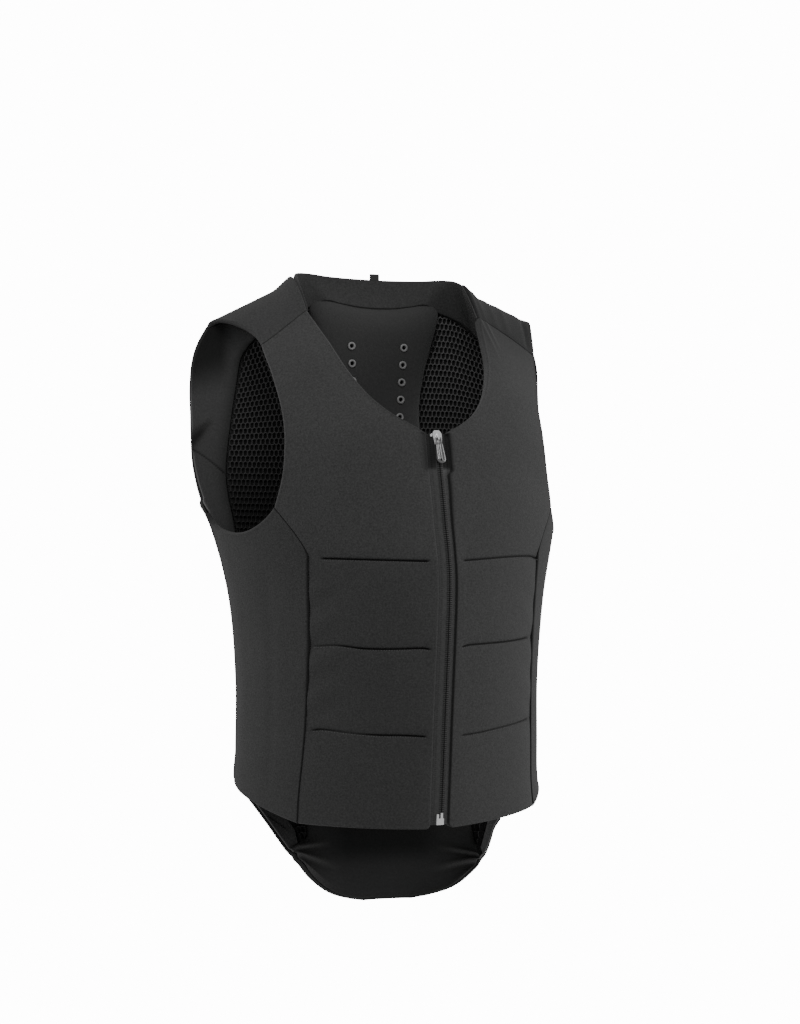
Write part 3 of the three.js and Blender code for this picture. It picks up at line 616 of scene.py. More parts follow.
def net_rings():
    """Four rings of twelve offsets for one cell: its six-sided border, the shoulder of the strands,
    the rounded edge of the hole and the foot of its wall."""
    half = CELL["pitch"] / 2
    tall = CELL["row"] * CELL["peak"]
    side = CELL["row"] - tall
    corners = np.array([[0, tall], [half, side], [half, -side], [0, -tall], [-half, -side], [-half, side]])
    between = (corners + np.roll(corners, -1, 0)) / 2
    border = np.stack([corners, between], 1).reshape(12, 2)
    inset = [1 - CELL["strand_across"] / half, 1 - CELL["strand_up"] / tall]
    angle = np.arctan2(border[:, 0] / half, border[:, 1] / tall)
    oval = np.stack([np.sin(angle) * half, np.cos(angle) * tall * 0.86], -1)
    hole = mix(border, oval, 0.2) * inset
    return [border, mix(border, hole, 0.6), hole, hole * 1.03]


NET_LIFTS = (0, 0.25, 0.9, CELL["deep"])
MESH_TIP = {"left": -580, "right": -570}
for sign, side in SIDES:
    tip = MESH_TIP[side]
    v, u = grid(tip + (CORNER_RING - tip) * spaced(120, 533, 1), spaced(34, 60, 1))
    ring, x, _, _ = flank_place(u, v, sign)
    turn = turn_at(sign * x, ring, True)
    top = lining_lift(turn, ring)
    backing = wall_piece(
        f"mesh_backing_{side}",
        lifted(turn, ring, top),
        lifted(turn, ring, top - MESH_BACKING),
        mesh_backing.material,
    )
    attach(backing, "vest")
    cell_x, cell_z = net_cells(*NET_BOX)
    _, _, inside, outside = flank_place(np.zeros_like(cell_z), np.minimum(cell_z, CORNER_RING), sign)
    above = cell_z > CORNER_RING
    inside = np.where(above, np.interp(cell_z, [CORNER_RING, MESH_TOP_LINE[0, 1]], [67.5, 72]), inside)
    outside = np.where(above, CORNER_X, outside)
    ceiling = np.interp(cell_x, MESH_TOP_LINE[:, 0], MESH_TOP_LINE[:, 1])
    keep = (cell_x > inside - 1.5) & (cell_x < outside + 1.5) & (cell_z < ceiling + 3) & (cell_z > tip)
    cell_x, cell_z, inside, outside = cell_x[keep], cell_z[keep], inside[keep], outside[keep]
    rings = []
    for offsets, sunk in zip(net_rings(), NET_LIFTS):
        x = np.clip(cell_x[:, None] + offsets[:, 0], inside[:, None], outside[:, None])
        ceiling = np.interp(x, MESH_TOP_LINE[:, 0], MESH_TOP_LINE[:, 1])
        z = np.clip(cell_z[:, None] + offsets[:, 1], tip, ceiling)
        turn = turn_at(sign * x, z, True)
        near = np.minimum(x - inside[:, None], outside[:, None] - x)
        rise = MESH_WALL - NET_EDGE_FALL * np.clip(1 - near / 4, 0, 1) ** 2
        rings.append(lifted(turn, z, lining_lift(turn, z) - rise + sunk))
    points = np.stack(rings, 1)
    index = closed_rows(points)
    points = points.reshape(-1, 3)
    _, first, where = np.unique(np.round(points, 2), axis=0, return_index=True, return_inverse=True)
    faces = where.ravel()[grid_faces(index)]
    faces = faces if sign < 0 else faces[:, ::-1]
    net = make_piece(f"mesh_net_{side}", points[first], faces, mesh_yarn.material)
    sew(net, f"mesh_flank_{side}")

# Edge facings: smooth cloth between the mesh and the back's edge, from the shoulder to the tail.
# Each is sewn to the mesh and turned in at the edge.
FACING_WALL = 1.5
FACING_INSET = -0.003
FACING_FOOT = {"left": -594, "right": -579}
FACING_TOP = -12
FACING_TAIL = -480
FACING_ROLL = 0.7

# Inner edge: ring and distance from the middle, along the mesh and on up to the collar.
FACING_EDGE = np.concatenate(
    [
        MESH_EDGE + [0, LINING_SEAM],
        [[-40, 113.5], [-35, 98.5], [-29, 80.5], [-26, 72], [FACING_TOP, 70]],
    ]
)

# Marks on the wearer's right, each from one place to another: a fold that runs in from the armhole, the
# seam below it, and a crease in the tail.
FOLD = np.array([[-199, -168], [-170, -140]])
JOIN = np.array([[-197, -173.5], [-161, -197.5]])
TAIL_CREASE = np.array([[-129, -541], [-108, -556]])
facing_cloth = stretch_cloth("smooth_facing", 0.056, fleck=0.16, rib=0.9)


def beside(line, x, z):
    """Share of the way along a straight line, and the distance from it in mm."""
    way = line[1] - line[0]
    length = np.hypot(*way)
    along = ((x - line[0, 0]) * way[0] + (z - line[0, 1]) * way[1]) / length**2
    return along, ((x - line[0, 0]) * way[1] - (z - line[0, 1]) * way[0]) / length


for sign, side in SIDES:
    foot = FACING_FOOT[side]
    ring, u = grid(foot + (FACING_TOP - foot) * spaced(340, 570, 1), spaced(60, 50, 1))
    tail_start = np.maximum(mesh_outer(ring, sign), pad_edge(ring, sign) + 1) + LINING_SEAM
    start_x = np.where(ring < FACING_TAIL, tail_start, through_rows(FACING_EDGE, ring))
    start = turn_at(sign * inside_tail(start_x, ring), ring, True)
    stop = sign * (np.pi - tail_edge_turn(ring, sign > 0) + FACING_INSET)
    turn = mix(start, stop, u)
    top = lining_lift(turn, ring)
    flat = torso(turn, ring)
    edges = to_edges(flat)
    inner_edge, outer_edge = edges[:2]
    roll = bullnose(np.minimum.reduce(edges), FACING_ROLL)
    along, away = beside(FOLD, flat[..., 0], flat[..., 2])
    fold_width = mix(7, 2.5, np.clip(along, 0, 1))
    fold = bell(away, fold_width) * rise_and_fall(along, -0.4, 0, 0.3, 1)
    along, away = beside(JOIN, flat[..., 0], flat[..., 2])
    bowed = away + 1.5 * np.sin(np.pi * np.clip(along, 0, 1))
    join = bell(bowed, 0.8) * rise_and_fall(along, -0.1, -0.05, 0.97, 1.02)
    along, away = beside(TAIL_CREASE, flat[..., 0], flat[..., 2])
    crease = bell(away, 1.2) * rise_and_fall(along, -0.1, 0.1, 0.8, 1.1)
    # Painted shade: darker under the shoulder, beside the mesh above the tail, and in the fold, the seam and
    # the tail crease, which also shape the cloth. A painted highlight runs along the turned outer edge, and
    # painted light covers the left facing in the tail.
    under_shoulder = 0.9 * fade(ring, -105, -45) * fade(np.abs(flat[..., 0]), 148, 168)
    in_tail = fade(ring, -530, -550)
    beside_mesh = 0.45 * bell(inner_edge, 9) * (1 - in_tail)
    facing = wall_piece(
        f"edge_facing_cloth_{side}",
        lifted(turn, ring, top - roll),
        lifted(turn, ring, top - FACING_WALL + roll + 3 * fold + 0.6 * join + 1.2 * crease),
        facing_cloth,
        np.clip(under_shoulder + beside_mesh + 0.9 * fold + 0.8 * (join + crease), 0, 1),
        np.clip(0.7 * bell(outer_edge, 0.9) + (in_tail if side == "left" else 0), 0, 1),
    )
    sew(facing, f"edge_facing_{side}")

# Vent rings: moulded eyelets of satin grey plastic, pressed through the pad in two columns below the neck.
# The pad is bored right through at each of them.
EYELET_ROWS = 5
EYELET_TOP = -64
EYELET_PITCH = 18.2

# Distance of the columns from the middle, in the top row and in the bottom row.
EYELET_HALF = (29, 25.5)

# Radius and height round the ring's section, from the seat on the pad.
EYELET_PROFILE = np.array(
    [
        [2.1, -5], [2.1, 0.2], [2.15, 0.75], [2.35, 1.1], [2.75, 1.3], [3.3, 1.28], [3.8, 1.1], [4.12, 0.8],
        [4.25, 0.45], [4.1, 0.36], [2.75, 0.36], [2.7, -5],
    ]
)
BORE_PROFILE = np.array([[0.01, -30], [3.1, -30], [3.1, 30], [0.01, 30]])
ring_plastic = speckled("satin_grey_ring", 600, 0.2, 0.3, roughness=0.4, specular_ior_level=0.5)


def turned_piece(name, profile, sides, seat, direction):
    """A closed profile of radius and height, turned about an axis that stands on a seat in a direction."""
    angle = np.arange(sides) * TAU / sides
    radius, height = profile[:, :1], profile[:, 1:]
    points = np.stack([radius * np.cos(angle), radius * np.sin(angle), np.repeat(height, sides, 1)], -1)
    index = closed_rows(points)
    index = np.concatenate([index, index[:1]])
    side = unit(np.cross([0, 0, 1], direction))
    points = seat + points.reshape(-1, 3) @ np.stack([side, np.cross(direction, side), direction])
    return make_piece(name, points, outwards(points, grid_faces(index)), ring_plastic.material)


drills = []
for k in range(EYELET_ROWS):
    for sign, side in SIDES:
        ring = np.array(EYELET_TOP - k * EYELET_PITCH)
        turn = turn_at(sign * mix(*EYELET_HALF, k / (EYELET_ROWS - 1)), ring, True)
        inwards = -outward(turn, ring)
        thick = through_rows(PAD[:, [0, 2]], ring)
        seat = torso(turn, ring) + inwards * (thick - LINING)
        eyelet = turned_piece(f"vent_ring_{k + 1}_{side}", EYELET_PROFILE, 28, seat, inwards)
        sew(eyelet, f"eyelet_{k + 1}_{side}")
        drills.append(turned_piece(f"drill_{k}_{side}", BORE_PROFILE, 24, seat, inwards))
for drill in drills:
    cut = spine_pad.modifiers.new(drill.name, "BOOLEAN")
    cut.object = drill
    cut.solver = "EXACT"
pierced = bpy.data.meshes.new_from_object(spine_pad.evaluated_get(bpy.context.evaluated_depsgraph_get()))
spine_pad.modifiers.clear()
spine_pad.data = pierced
for drill in drills:
    bpy.data.objects.remove(drill)

# Side panels: thinner padded panels under the arms, scooped out below the armhole.
# They are sewn to the fronts along a curved seam and to the back along the side seam.
SIDE_PADDING = 5
SEAM_GAP = 0.4
SIDE_ROLL = 1.2
EDGE_ROLL = 2.0

# Rows of the fronts from the hem up. Quilts: row, height at the zip, distance and height at the side seam.
# Chest: row, distance and height at the zip and neck, distance and height at the seam and armhole.
QUILT = np.array(
    [
        [0, -535, 125, -531], [1, -447, 119.5, -443.5], [2, -365, 118, -361], [3, -283, 121, -281],
    ]
)
CHEST = np.array(
    [
        [3.085, 0, -275, 121.5, -275],
        [3.256, 0, -262, 128, -261],
        [3.61, 0, -240, 147, -231],
        [4.01, 0, -205, 141, -200],
        [4.385, 0, -176, 138.5, -168],
        [4.586, 0, -161, 138, -150],
        [4.805, 27, -151, 138, -143],
        [4.983, 44, -140, 138.2, -134],
        [5.215, 61, -122, 139, -121],
        [5.52, 75, -95, 140.5, -101],
        [5.812, 84, -65, 142, -84],
        [5.98, 90, -45, 142.5, -77],
        [6.07, 93, -36, 142.5, -73],
    ]
)
OUTER_EDGE = np.concatenate([QUILT[:, [0, 2, 3]], CHEST[:, [0, 3, 4]]])
ARMPIT_ROW = 6
SIDE_HEM = -503
SIDE_TOP = -238
SCOOP = 22
SCOOP_FROM = -350
SEAM_ROLL = (0.6, 2.3)
WIDE_SEAM = (-440, -380, -284, -270)


def edge_line(rows, corner, at):
    """A panel's edge through its rows, smooth below and above one corner row."""
    below = through_rows(rows[: corner + 1], at)
    above = through_rows(rows[corner:], at)
    return np.where(at <= rows[corner, 0], below, above)


def seam_roll(z):
    """Radius of the roll along the front seam: wide by the upper quilts, narrow on the chest and below."""
    return mix(*SEAM_ROLL, rise_and_fall(z, *WIDE_SEAM))


charcoal_side = stretch_cloth("charcoal_side_cloth", 0.041)
armpit = OUTER_EDGE[ARMPIT_ROW, 0]
for sign, side in SIDES:
    row, u = grid(armpit * spaced(150, 300, 3), spaced(64, 110, 3))
    seam_x, seam_z = edge_line(OUTER_EDGE, ARMPIT_ROW, row)
    hem, top = OUTER_EDGE[0, 2], OUTER_EDGE[ARMPIT_ROW, 2]
    climbed = (seam_z - hem) / (top - hem)
    start = turn_at(seam_x + SEAM_GAP / 2, seam_z)
    scoop = SCOOP * fade(seam_z, SCOOP_FROM, top)
    turn = sign * mix(start, SIDE_SEAM - SEAM_TURN, u)
    ring = mix(seam_z, mix(SIDE_HEM, SIDE_TOP, climbed), u) - scoop * np.sin(np.pi * u**0.8)
    front, rear, low, high = to_edges(torso(turn, ring))
    open_edges = np.minimum(low, high)
    wide = seam_roll(seam_z)
    roll = np.maximum(bullnose(front, wide), bullnose(rear, SIDE_ROLL))
    roll = np.maximum(roll, bullnose(open_edges, EDGE_ROLL))
    fold = bell(u - 0.3 - 0.05 * climbed, 0.05) * rise_and_fall(climbed, 0, 0.2, 0.75, 0.95)
    panel = wall_piece(
        f"side_cloth_{side}",
        lifted(turn, ring, turned_edge(open_edges) - roll - 0.6 * fold),
        lifted(turn, ring, roll - SIDE_PADDING),
        charcoal_side,
        0.75 * bell(front, 0.55 * wide),
    )
    sew(panel, f"side_panel_{side}")

# Front panels: foam padded fronts from the hem to the shoulder seam, quilted across with three
# stitched lines each. The chest is plain, and the neck and armhole edges are turned in.
FRONT_PADDING = 8
ZIP_EDGE = {"left": 6.3, "right": 11.7}
ZIP_GARAGE = 3.7
GARAGE_FROM = (-200.5, -196)
NECK_ROW = 9
HEM_CORNER_RADIUS = 5
ZIP_FLARE = 0.8
ZIP_ROLL = {"left": 1.0, "right": 2.4}
SHOULDER_ROLL = 0.8
FAR = 99
GROOVE = {"deep": 2.8, "wide": 1.0}
DIP = {"deep": 0.6, "reach": 5}
BAY = {"deep": 1.5, "reach": 9, "across": (8, 24, 114, 124)}
LINE_END = 3
RIPPLE = {"right": 0.8, "left": 0.4}
RIPPLE_RINGS = (-450, -420, -315, -285)

# Sway of the zip to the wearer's left by ring, extra reach of the left armhole by height, and two soft folds
# on the left chest from one place to another.
ZIP_SWAY = np.array(
    [
        [-535, 1.6], [-470, 0.9], [-420, 0.9], [-352, 2.3], [-300, 3.7], [-270, 2.4], [-243, 0.4],
        [-196, -0.9], [-160, 0],
    ]
)
LEFT_REACH = np.array([[-231, 0], [-200, -2], [-160, -3], [-125, 0], [-101, 9], [-84, 16], [-73, 21]])
FRONT_FOLDS = np.array([[[95, -36], [97, -92]], [[101, -40], [104, -80]]])

# Quilting lines: distance from the middle, height, and how hard the stitch pulls there.
QUILTING = {
    "right": [
        [[18.6, -281.5, 1], [65, -280.3, 1], [110, -279.3, 1]],
        [
            [17, -364.2, 0.8], [24, -363.2, 1], [51, -363.7, 1], [76, -363.4, 1], [97, -360.9, 0.4],
            [114, -362.4, 0.25],
        ],
        [
            [19, -446.6, 0.8], [40, -445.2, 0.9], [63, -444.7, 0.7], [83, -443.3, 0.3], [107, -440.8, 0.6],
            [114, -442, 0.7],
        ],
    ],
    "left": [
        [[19, -281.4, 0.8], [55, -279.7, 0.7], [85, -278.9, 0.7], [110, -279.6, 0.8], [121, -282.2, 0.9]],
        [[17, -362.8, 0.8], [26, -361.5, 0.8], [78, -361, 0.8], [109, -360.2, 0.7]],
        [[19, -447.2, 0.5], [41, -446.1, 0.5], [67, -444.1, 0.45], [114, -441.6, 0.45]],
    ],
}


def ring_through(x, z):
    """The ring whose sloping shoulder passes through x at height z, found by repeated correction."""
    ring = np.array(z, float)
    for _ in range(12):
        ring = z + droop(x, ring)
    return ring


def left_reach(z):
    """How much farther the left front stands out at its armhole than the right one."""
    return through_rows(LEFT_REACH, z)


def zip_middle(ring):
    """How far the zip's middle sways to the wearer's left at a ring."""
    return through_rows(ZIP_SWAY, ring)


def zip_reach(ring, sign, side):
    """Distance from the middle to a front's zip edge: it follows the sway, and steps back at the top."""
    if side == "right":
        return ZIP_EDGE[side] + sign * zip_middle(ring)
    step = ZIP_GARAGE * fade(ring, *GARAGE_FROM)
    return ZIP_EDGE[side] + ZIP_FLARE * fade(ring, -240, -210) + step + sign * zip_middle(ring)


def quilted(x, ring, side):
    """How far the quilting pulls the cloth in, and its shade: on each line a narrow groove, in a dip where
    the stitch pulls, in the wide fall between two padded bays."""
    sink, shade = np.zeros_like(x), np.zeros_like(x)
    for rows in QUILTING[side]:
        rows = np.array(rows)
        height, pull = through_rows(rows, x)
        start, stop = rows[0, 0], rows[-1, 0]
        reach = rise_and_fall(x, start - LINE_END, start + LINE_END, stop - LINE_END, stop + LINE_END)
        away = ring - height
        dip = DIP["deep"] * np.exp(-np.abs(away) / DIP["reach"])
        sink += reach * pull * (GROOVE["deep"] * bell(away, GROOVE["wide"]) + dip)
        fall = BAY["deep"] * np.exp(-np.abs(away) / BAY["reach"])
        sink += fall * rise_and_fall(x, *BAY["across"])
        shade += 1.3 * reach * pull * bell(away, 0.9)
    return sink, shade


charcoal_front = stretch_cloth("charcoal_front_cloth", 0.0475)
bay_rows = (1 - np.cos(np.linspace(0, np.pi, 50)[:-1])) / 2
chest_rows = CHEST[0, 0] + (CHEST[-1, 0] - CHEST[0, 0]) * spaced(190, 245, 3)[6:]
hem_rows = spaced(60, 88, 3)[:7]
front_rows = np.concatenate(
    [
        hem_rows,
        bay_rows[bay_rows > hem_rows[-1]],
        1 + bay_rows,
        2 + bay_rows,
        np.linspace(3, CHEST[0, 0], 14),
        chest_rows,
    ]
)
for sign, side in SIDES:
    inner_rows = np.concatenate([QUILT[:, [0, 0, 1]], CHEST[:, :3]])
    inner_rows[: NECK_ROW + 1, 1] = ZIP_EDGE[side]
    neck = inner_rows[NECK_ROW, 0]
    row, u = grid(front_rows, spaced(104, 130, 3))
    inner_x, inner_z = edge_line(inner_rows, NECK_ROW, row)
    inner_x = np.where(row < neck, zip_reach(inner_z, sign, side), inner_x)
    outer_x, outer_z = edge_line(OUTER_EDGE, ARMPIT_ROW, row)
    inner_x = inner_x + bullnose(inner_z - QUILT[0, 1], HEM_CORNER_RADIUS)
    wide = seam_roll(outer_z)
    outer_x = outer_x - SEAM_GAP / 2 + (left_reach(outer_z) if side == "left" else 0)
    x = mix(inner_x, outer_x, u)
    ring = mix(ring_through(inner_x, inner_z), ring_through(outer_x, outer_z), u)
    turn = turn_at(sign * x, ring)
    toward_zip, toward_seam, low, high = to_edges(torso(turn, ring))
    at_zip = np.where(row < neck, toward_zip, FAR)
    sewn = np.where(row < armpit, toward_seam, FAR)
    neck_edge = np.where(row > neck, toward_zip, FAR)
    arm_edge = np.where(row > armpit, toward_seam, FAR)
    free = np.minimum.reduce([neck_edge, arm_edge, low])
    roll = np.maximum(bullnose(free, EDGE_ROLL), bullnose(at_zip, ZIP_ROLL[side]))
    roll = np.maximum.reduce([roll, bullnose(sewn, wide), bullnose(high, SHOULDER_ROLL)])
    sink, shade = quilted(x, ring, side)
    ridge = np.zeros_like(x)
    for line in FRONT_FOLDS if side == "left" else ():
        along, away = beside(line, x, torso(turn, ring)[..., 2])
        ridge += bell(away, 2.2) * rise_and_fall(along, -0.1, 0.1, 0.2, 1)
    rippled = RIPPLE[side] * bell(x - 112, 16) * rise_and_fall(ring, *RIPPLE_RINGS)
    ripple = rippled * np.sin((ring + 0.5 * x) / 5.5)
    seam_pull = np.exp(-sewn / 7) * fade(ring, -262, -282)
    pocket = fade(ring, GARAGE_FROM[0], GARAGE_FROM[0] + 8) * bell(at_zip, 6) * (side == "right")
    # Painted shade: the quilted lower fronts darker than the chest, the right one much more, the top of the
    # left chest, the quilting grooves and seams, the fronts' edges at the zip, widest on the left, and the
    # pocket at the zip's top on the right, which is also sunk in. Painted highlights run along the free
    # edges and the left chest's folds.
    wall_shade_width = 1.1 + 1.7 * fade(ring, -275, -215) if side == "left" else 0.3
    zip_wall_shade = bell(at_zip, wall_shade_width)
    quilt_painted_shade = (0.15 if side == "right" else 0.03) * fade(ring, -278, -284)
    shoulder_painted_shade = 0.4 * fade(ring, -105, -45) * (side == "left")
    seam_shade = 0.75 * bell(sewn, 0.55 * wide) + 0.6 * bell(high, 0.7)
    pulled_in = roll + sink + ripple + seam_pull + 1.5 * pocket
    panel = wall_piece(
        f"front_cloth_{side}",
        lifted(turn, ring, turned_edge(free) + 1.1 * ridge - pulled_in),
        lifted(turn, ring, roll - FRONT_PADDING),
        charcoal_front,
        np.clip(quilt_painted_shade + shoulder_painted_shade + shade + seam_shade + 0.9 * zip_wall_shade + 0.8 * pocket, 0, 1),
        np.clip(0.45 * bell(free, 0.9) + 0.12 * ridge, 0, 1),
    )
    sew(panel, f"front_panel_{side}")

# Stitching: short bars of thread along the quilting lines of both fronts, each lying in its groove
# between two needle holes.
STITCH = {"pitch": 2.3, "long": 1.5, "radius": 0.24, "below": 1.3, "lift": 0.12}
thread = speckled("charcoal_thread", 1500, 0.08, 0.14, roughness=0.6, specular_ior_level=0.4)


def wires(paths, radius, across, sides=6):
    """Round wires along many paths at once: a ring of points square to the path at each of its points,
    with a flat cap at both ends."""
    ahead = unit(np.gradient(paths, axis=1))
    first = unit(np.cross(ahead, across))
    second = np.cross(first, ahead)
    angle = (np.arange(sides) * TAU / sides)[:, None]
    ring = first[:, :, None] * np.cos(angle) + second[:, :, None] * np.sin(angle)
    points = paths[:, :, None] + ring * np.broadcast_to(radius, paths.shape[:2])[..., None, None]
    index = closed_rows(points)
    pair = np.arange(sides // 2 - 1)
    cap = np.stack([pair, pair + 1, sides - 2 - pair, sides - 1 - pair], -1)
    caps = [index[:, 0][:, cap[:, ::-1]].reshape(-1, 4), index[:, -1][:, cap].reshape(-1, 4)]
    points = points.reshape(-1, 3)
    return points, outwards(points, np.concatenate([grid_faces(index), *caps]))


BAR = np.array([-0.5, -0.35, 0.0, 0.35, 0.5]) * STITCH["long"]
BAR_RADIUS = np.array([0.4, 0.9, 1.0, 0.9, 0.4]) * STITCH["radius"]
for sign, side in SIDES:
    bars, outs = [], []
    for rows in QUILTING[side]:
        rows = np.array(rows)
        middle = np.arange(rows[0, 0], rows[-1, 0], STITCH["pitch"])
        x = middle[:, None] + BAR
        z = through_rows(rows[:, :2], x) - STITCH["below"]
        sink, _ = quilted(x, z, side)
        turn = turn_at(sign * x, z)
        bars.append(lifted(turn, z, STITCH["lift"] - sink))
        outs.append(outward(turn, z))
    points, faces = wires(np.concatenate(bars), BAR_RADIUS, np.concatenate(outs))
    stitching = make_piece(f"quilting_thread_{side}", points, faces, thread.material)
    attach(stitching, "vest")

# Shoulder yokes: bands of cloth over thin foam that run over the shoulders, from a seam in front
# to a seam behind, and carry the whole vest.
YOKE_WALL = 4
YOKE_NECK_X = 94
YOKE_OVERLAP = 0.2
YOKE_ROLL = 1.8
YOKE_BEAD = 0.4
SHOULDER_SEAM_RING = -11.2

# How far the curve reaches up from the front seam and from the back seam; the share of that which is lost
# towards the arm, and where it is all lost; the swell at the neck and at the arm, and its lean, by side.
YOKE_RISE = (50, 30)
YOKE_FALL = (0.34, 0.25)
YOKE_SWELL = {1: (2, 7), -1: (2, -2)}
YOKE_LEAN = {1: 0.6, -1: 0}

# Creases across the left yoke: place between neck and arm, width and depth.
YOKE_CREASES = (
    (0.04, 0.03, -0.9),
    (0.12, 0.03, -0.7),
    (0.30, 0.05, -0.7),
    (0.50, 0.05, -0.7),
    (0.86, 0.045, 1.6),
)
# The left yoke has a darker copy of the same cloth: the difference is painted shade.
charcoal_yoke = {
    "left": stretch_cloth("charcoal_shoulder_cloth_left_painted_shade", 0.021),
    "right": stretch_cloth("charcoal_shoulder_cloth_right", 0.040),
}


def yoke_point(s, t, sign):
    """A cubic curve over the shoulder: both ends lie on the worn form and leave it along its own slope."""
    arm_x = CHEST[-1, 3] + (LEFT_REACH[-1, 1] if sign > 0 else 0)
    front_x = mix(CHEST[-1, 1], arm_x, s)
    neck_ring = ring_through(CHEST[-1, 1], CHEST[-1, 2])
    front_ring = mix(neck_ring, ring_through(arm_x, CHEST[-1, 4]), s) - YOKE_OVERLAP
    back_x = mix(YOKE_NECK_X, ARMHOLE_BACK[-1, 1] - SEAM_GAP + ARM_SHIFT[sign], s)
    back_ring = np.full_like(s, SHOULDER_SEAM_RING)
    reach = 1 - YOKE_FALL[0] * fade(s, 0, YOKE_FALL[1])

    def seam_and_slope(x, ring, behind):
        here = torso(turn_at(sign * x, ring, behind), ring)
        above = torso(turn_at(sign * x, ring + 1, behind), ring + 1)
        return here, unit(above - here)

    start, rise = seam_and_slope(front_x, front_ring, False)
    stop, fall = seam_and_slope(back_x, back_ring, True)
    first = start + rise * (reach * YOKE_RISE[0])[..., None]
    second = stop + fall * (reach * YOKE_RISE[1])[..., None]
    swell = np.sin(np.pi * t) ** 0.7 * mix(*YOKE_SWELL[sign], s)
    t = t[..., None]
    curve = start * (1 - t) ** 3 + 3 * first * t * (1 - t) ** 2 + 3 * second * t**2 * (1 - t) + stop * t**3
    return curve + swell[..., None] * np.array([YOKE_LEAN[sign], 0, 1])


for sign, side in SIDES:
    t, s = grid(spaced(60, 80, 2), spaced(52, 80, 2))
    base = yoke_point(s, t, sign)
    along = yoke_point(np.minimum(s + 0.004, 1), t, sign) - yoke_point(np.maximum(s - 0.004, 0), t, sign)
    over = yoke_point(s, np.minimum(t + 0.004, 1), sign) - yoke_point(s, np.maximum(t - 0.004, 0), sign)
    normal = unit(np.cross(along, over))
    normal = normal * np.where(normal[..., 2:] < 0, -1, 1)
    neck, arm, low, high = to_edges(base)
    free = np.minimum(neck, arm)
    sewn = np.minimum(low, high)
    bead = turned_edge(free, YOKE_BEAD)
    roll = np.maximum(bullnose(free, YOKE_ROLL), bullnose(sewn, SHOULDER_ROLL))
    crease = np.zeros_like(s)
    spread = np.sqrt(np.sin(np.pi * np.clip(t / 0.7, 0, 1)))
    for middle, width, depth in YOKE_CREASES if side == "left" else ():
        crease += depth * bell(s - middle, width) * spread
    yoke = wall_piece(
        f"shoulder_cloth_{side}",
        base + normal * (bead - roll - crease)[..., None],
        base + normal * (roll - YOKE_WALL)[..., None],
        charcoal_yoke[side],
        np.clip(0.6 * bell(sewn, 0.7) + 0.25 * np.maximum(crease, 0), 0, 1),
    )
    sew(yoke, f"shoulder_yoke_{side}")

# Collar band: a folded band that stands round the back of the neck and runs on as a facing under the
# yokes to the fronts. Its lower edge is sewn down over the top of the spine pad.
COLLAR_WALL = 4
COLLAR_ROLL = 1.7

# Way round the neck, and x, y and z of the top edge and of the sewn edge.
COLLAR = np.array(
    [
        [0, 0, 21.2, 5.0, 0, 13.1, -25.4],
        [0.25, 26, 21.2, 5.4, 19, 13.1, -24.6],
        [0.5, 52, 20.8, 6.4, 38, 13.1, -22],
        [0.7, 71, 19.5, 8.0, 56, 13.2, -19.5],
        [0.82, 82, 17, 8.2, 71.5, 17.5, -26.5],
        [0.92, 89, 12.5, 7.2, 88, 18.5, -32],
        [1, 91.6, 6.5, 4.9, 101, 16.5, -38.5],
        [1.06, 91.7, 2.5, 3.2, 107, 12.5, -45],
        [1.13, 91.7, -1.7, 0.6, 110, 6.5, -51],
        [1.25, 91.7, -9.1, -5.6, 110, -6, -55],
        [1.4, 91.7, -17.3, -13.7, 107, -17, -54],
        [1.55, 91.7, -26.4, -23.6, 105, -26.3, -53],
        [1.7, 91.7, -36, -35.2, 103.9, -34, -52],
    ]
)
charcoal_collar = stretch_cloth("charcoal_collar_cloth", 0.039)


def collar_faces(g, v):
    """The band's two faces, and the distance from its sewn edge: one face is a curve from that edge over a
    bulge to the top edge, and the other is the same curve moved back by the band's thickness. g runs round
    the neck, and v from the sewn edge to the top."""
    far = np.abs(g)
    row = np.moveaxis(through_rows(COLLAR, far), 0, -1)
    row[..., [0, 3]] *= np.where(g < 0, -1, 1)[..., None]
    top, low = row[..., :3], row[..., 3:]
    swing = np.pi / 2 * fade(far, 0.55, 1)
    tilt = np.pi / 3 * fade(far, 1, 1.3)
    flat = np.cos(tilt)
    back = np.stack([np.sign(g) * np.sin(swing) * flat, np.cos(swing) * flat, np.sin(tilt)], -1)
    wall = COLLAR_WALL * (1 - 0.6 * fade(far, 0.95, 1.1))
    rim = top - back * wall[..., None]
    middle = mix(low, rim, 0.5)
    bulge = mix(low, rim, 0.55)
    bulge[..., 1] = rim[..., 1]
    over = mix(bulge, middle, fade(far, 0.75, 1.05)[..., None])
    t = v[..., None]
    inner = low * (1 - t) ** 2 + 2 * over * t * (1 - t) + rim * t**2
    thick = wall * mix(0.3, 1, fade(v, 0, 0.5))
    edges = to_edges(inner)
    roll = bullnose(np.minimum.reduce(edges), COLLAR_ROLL) * thick / COLLAR_WALL
    return inner + back * (thick - roll)[..., None], inner + back * roll[..., None], edges[2]


v, g = grid(spaced(26, 29, 2), COLLAR[-1, 0] * (2 * spaced(190, 300, 2) - 1))
behind, facing_you, sewn = collar_faces(g, v)
collar = wall_piece("collar_cloth", behind, facing_you, charcoal_collar, 0.9 * bell(sewn, 0.8))
sew(collar, "collar_band")

# Hanger loop: a short piece of narrow black woven tape, folded double, with both of its ends sewn to the
# collar's top edge at the middle of the back.
LOOP = {"wide": 9.5, "foot": 3.8, "tall": 5.9, "radius": 1.7, "wall": 1.0, "depth": 19}
loop_tape = speckled("black_woven_tape", 2500, 0.010, 0.024, roughness=0.7)
t, side_way = grid(np.linspace(-1, 1, 41), spaced(12, LOOP["wide"], 0.4) - 0.5)


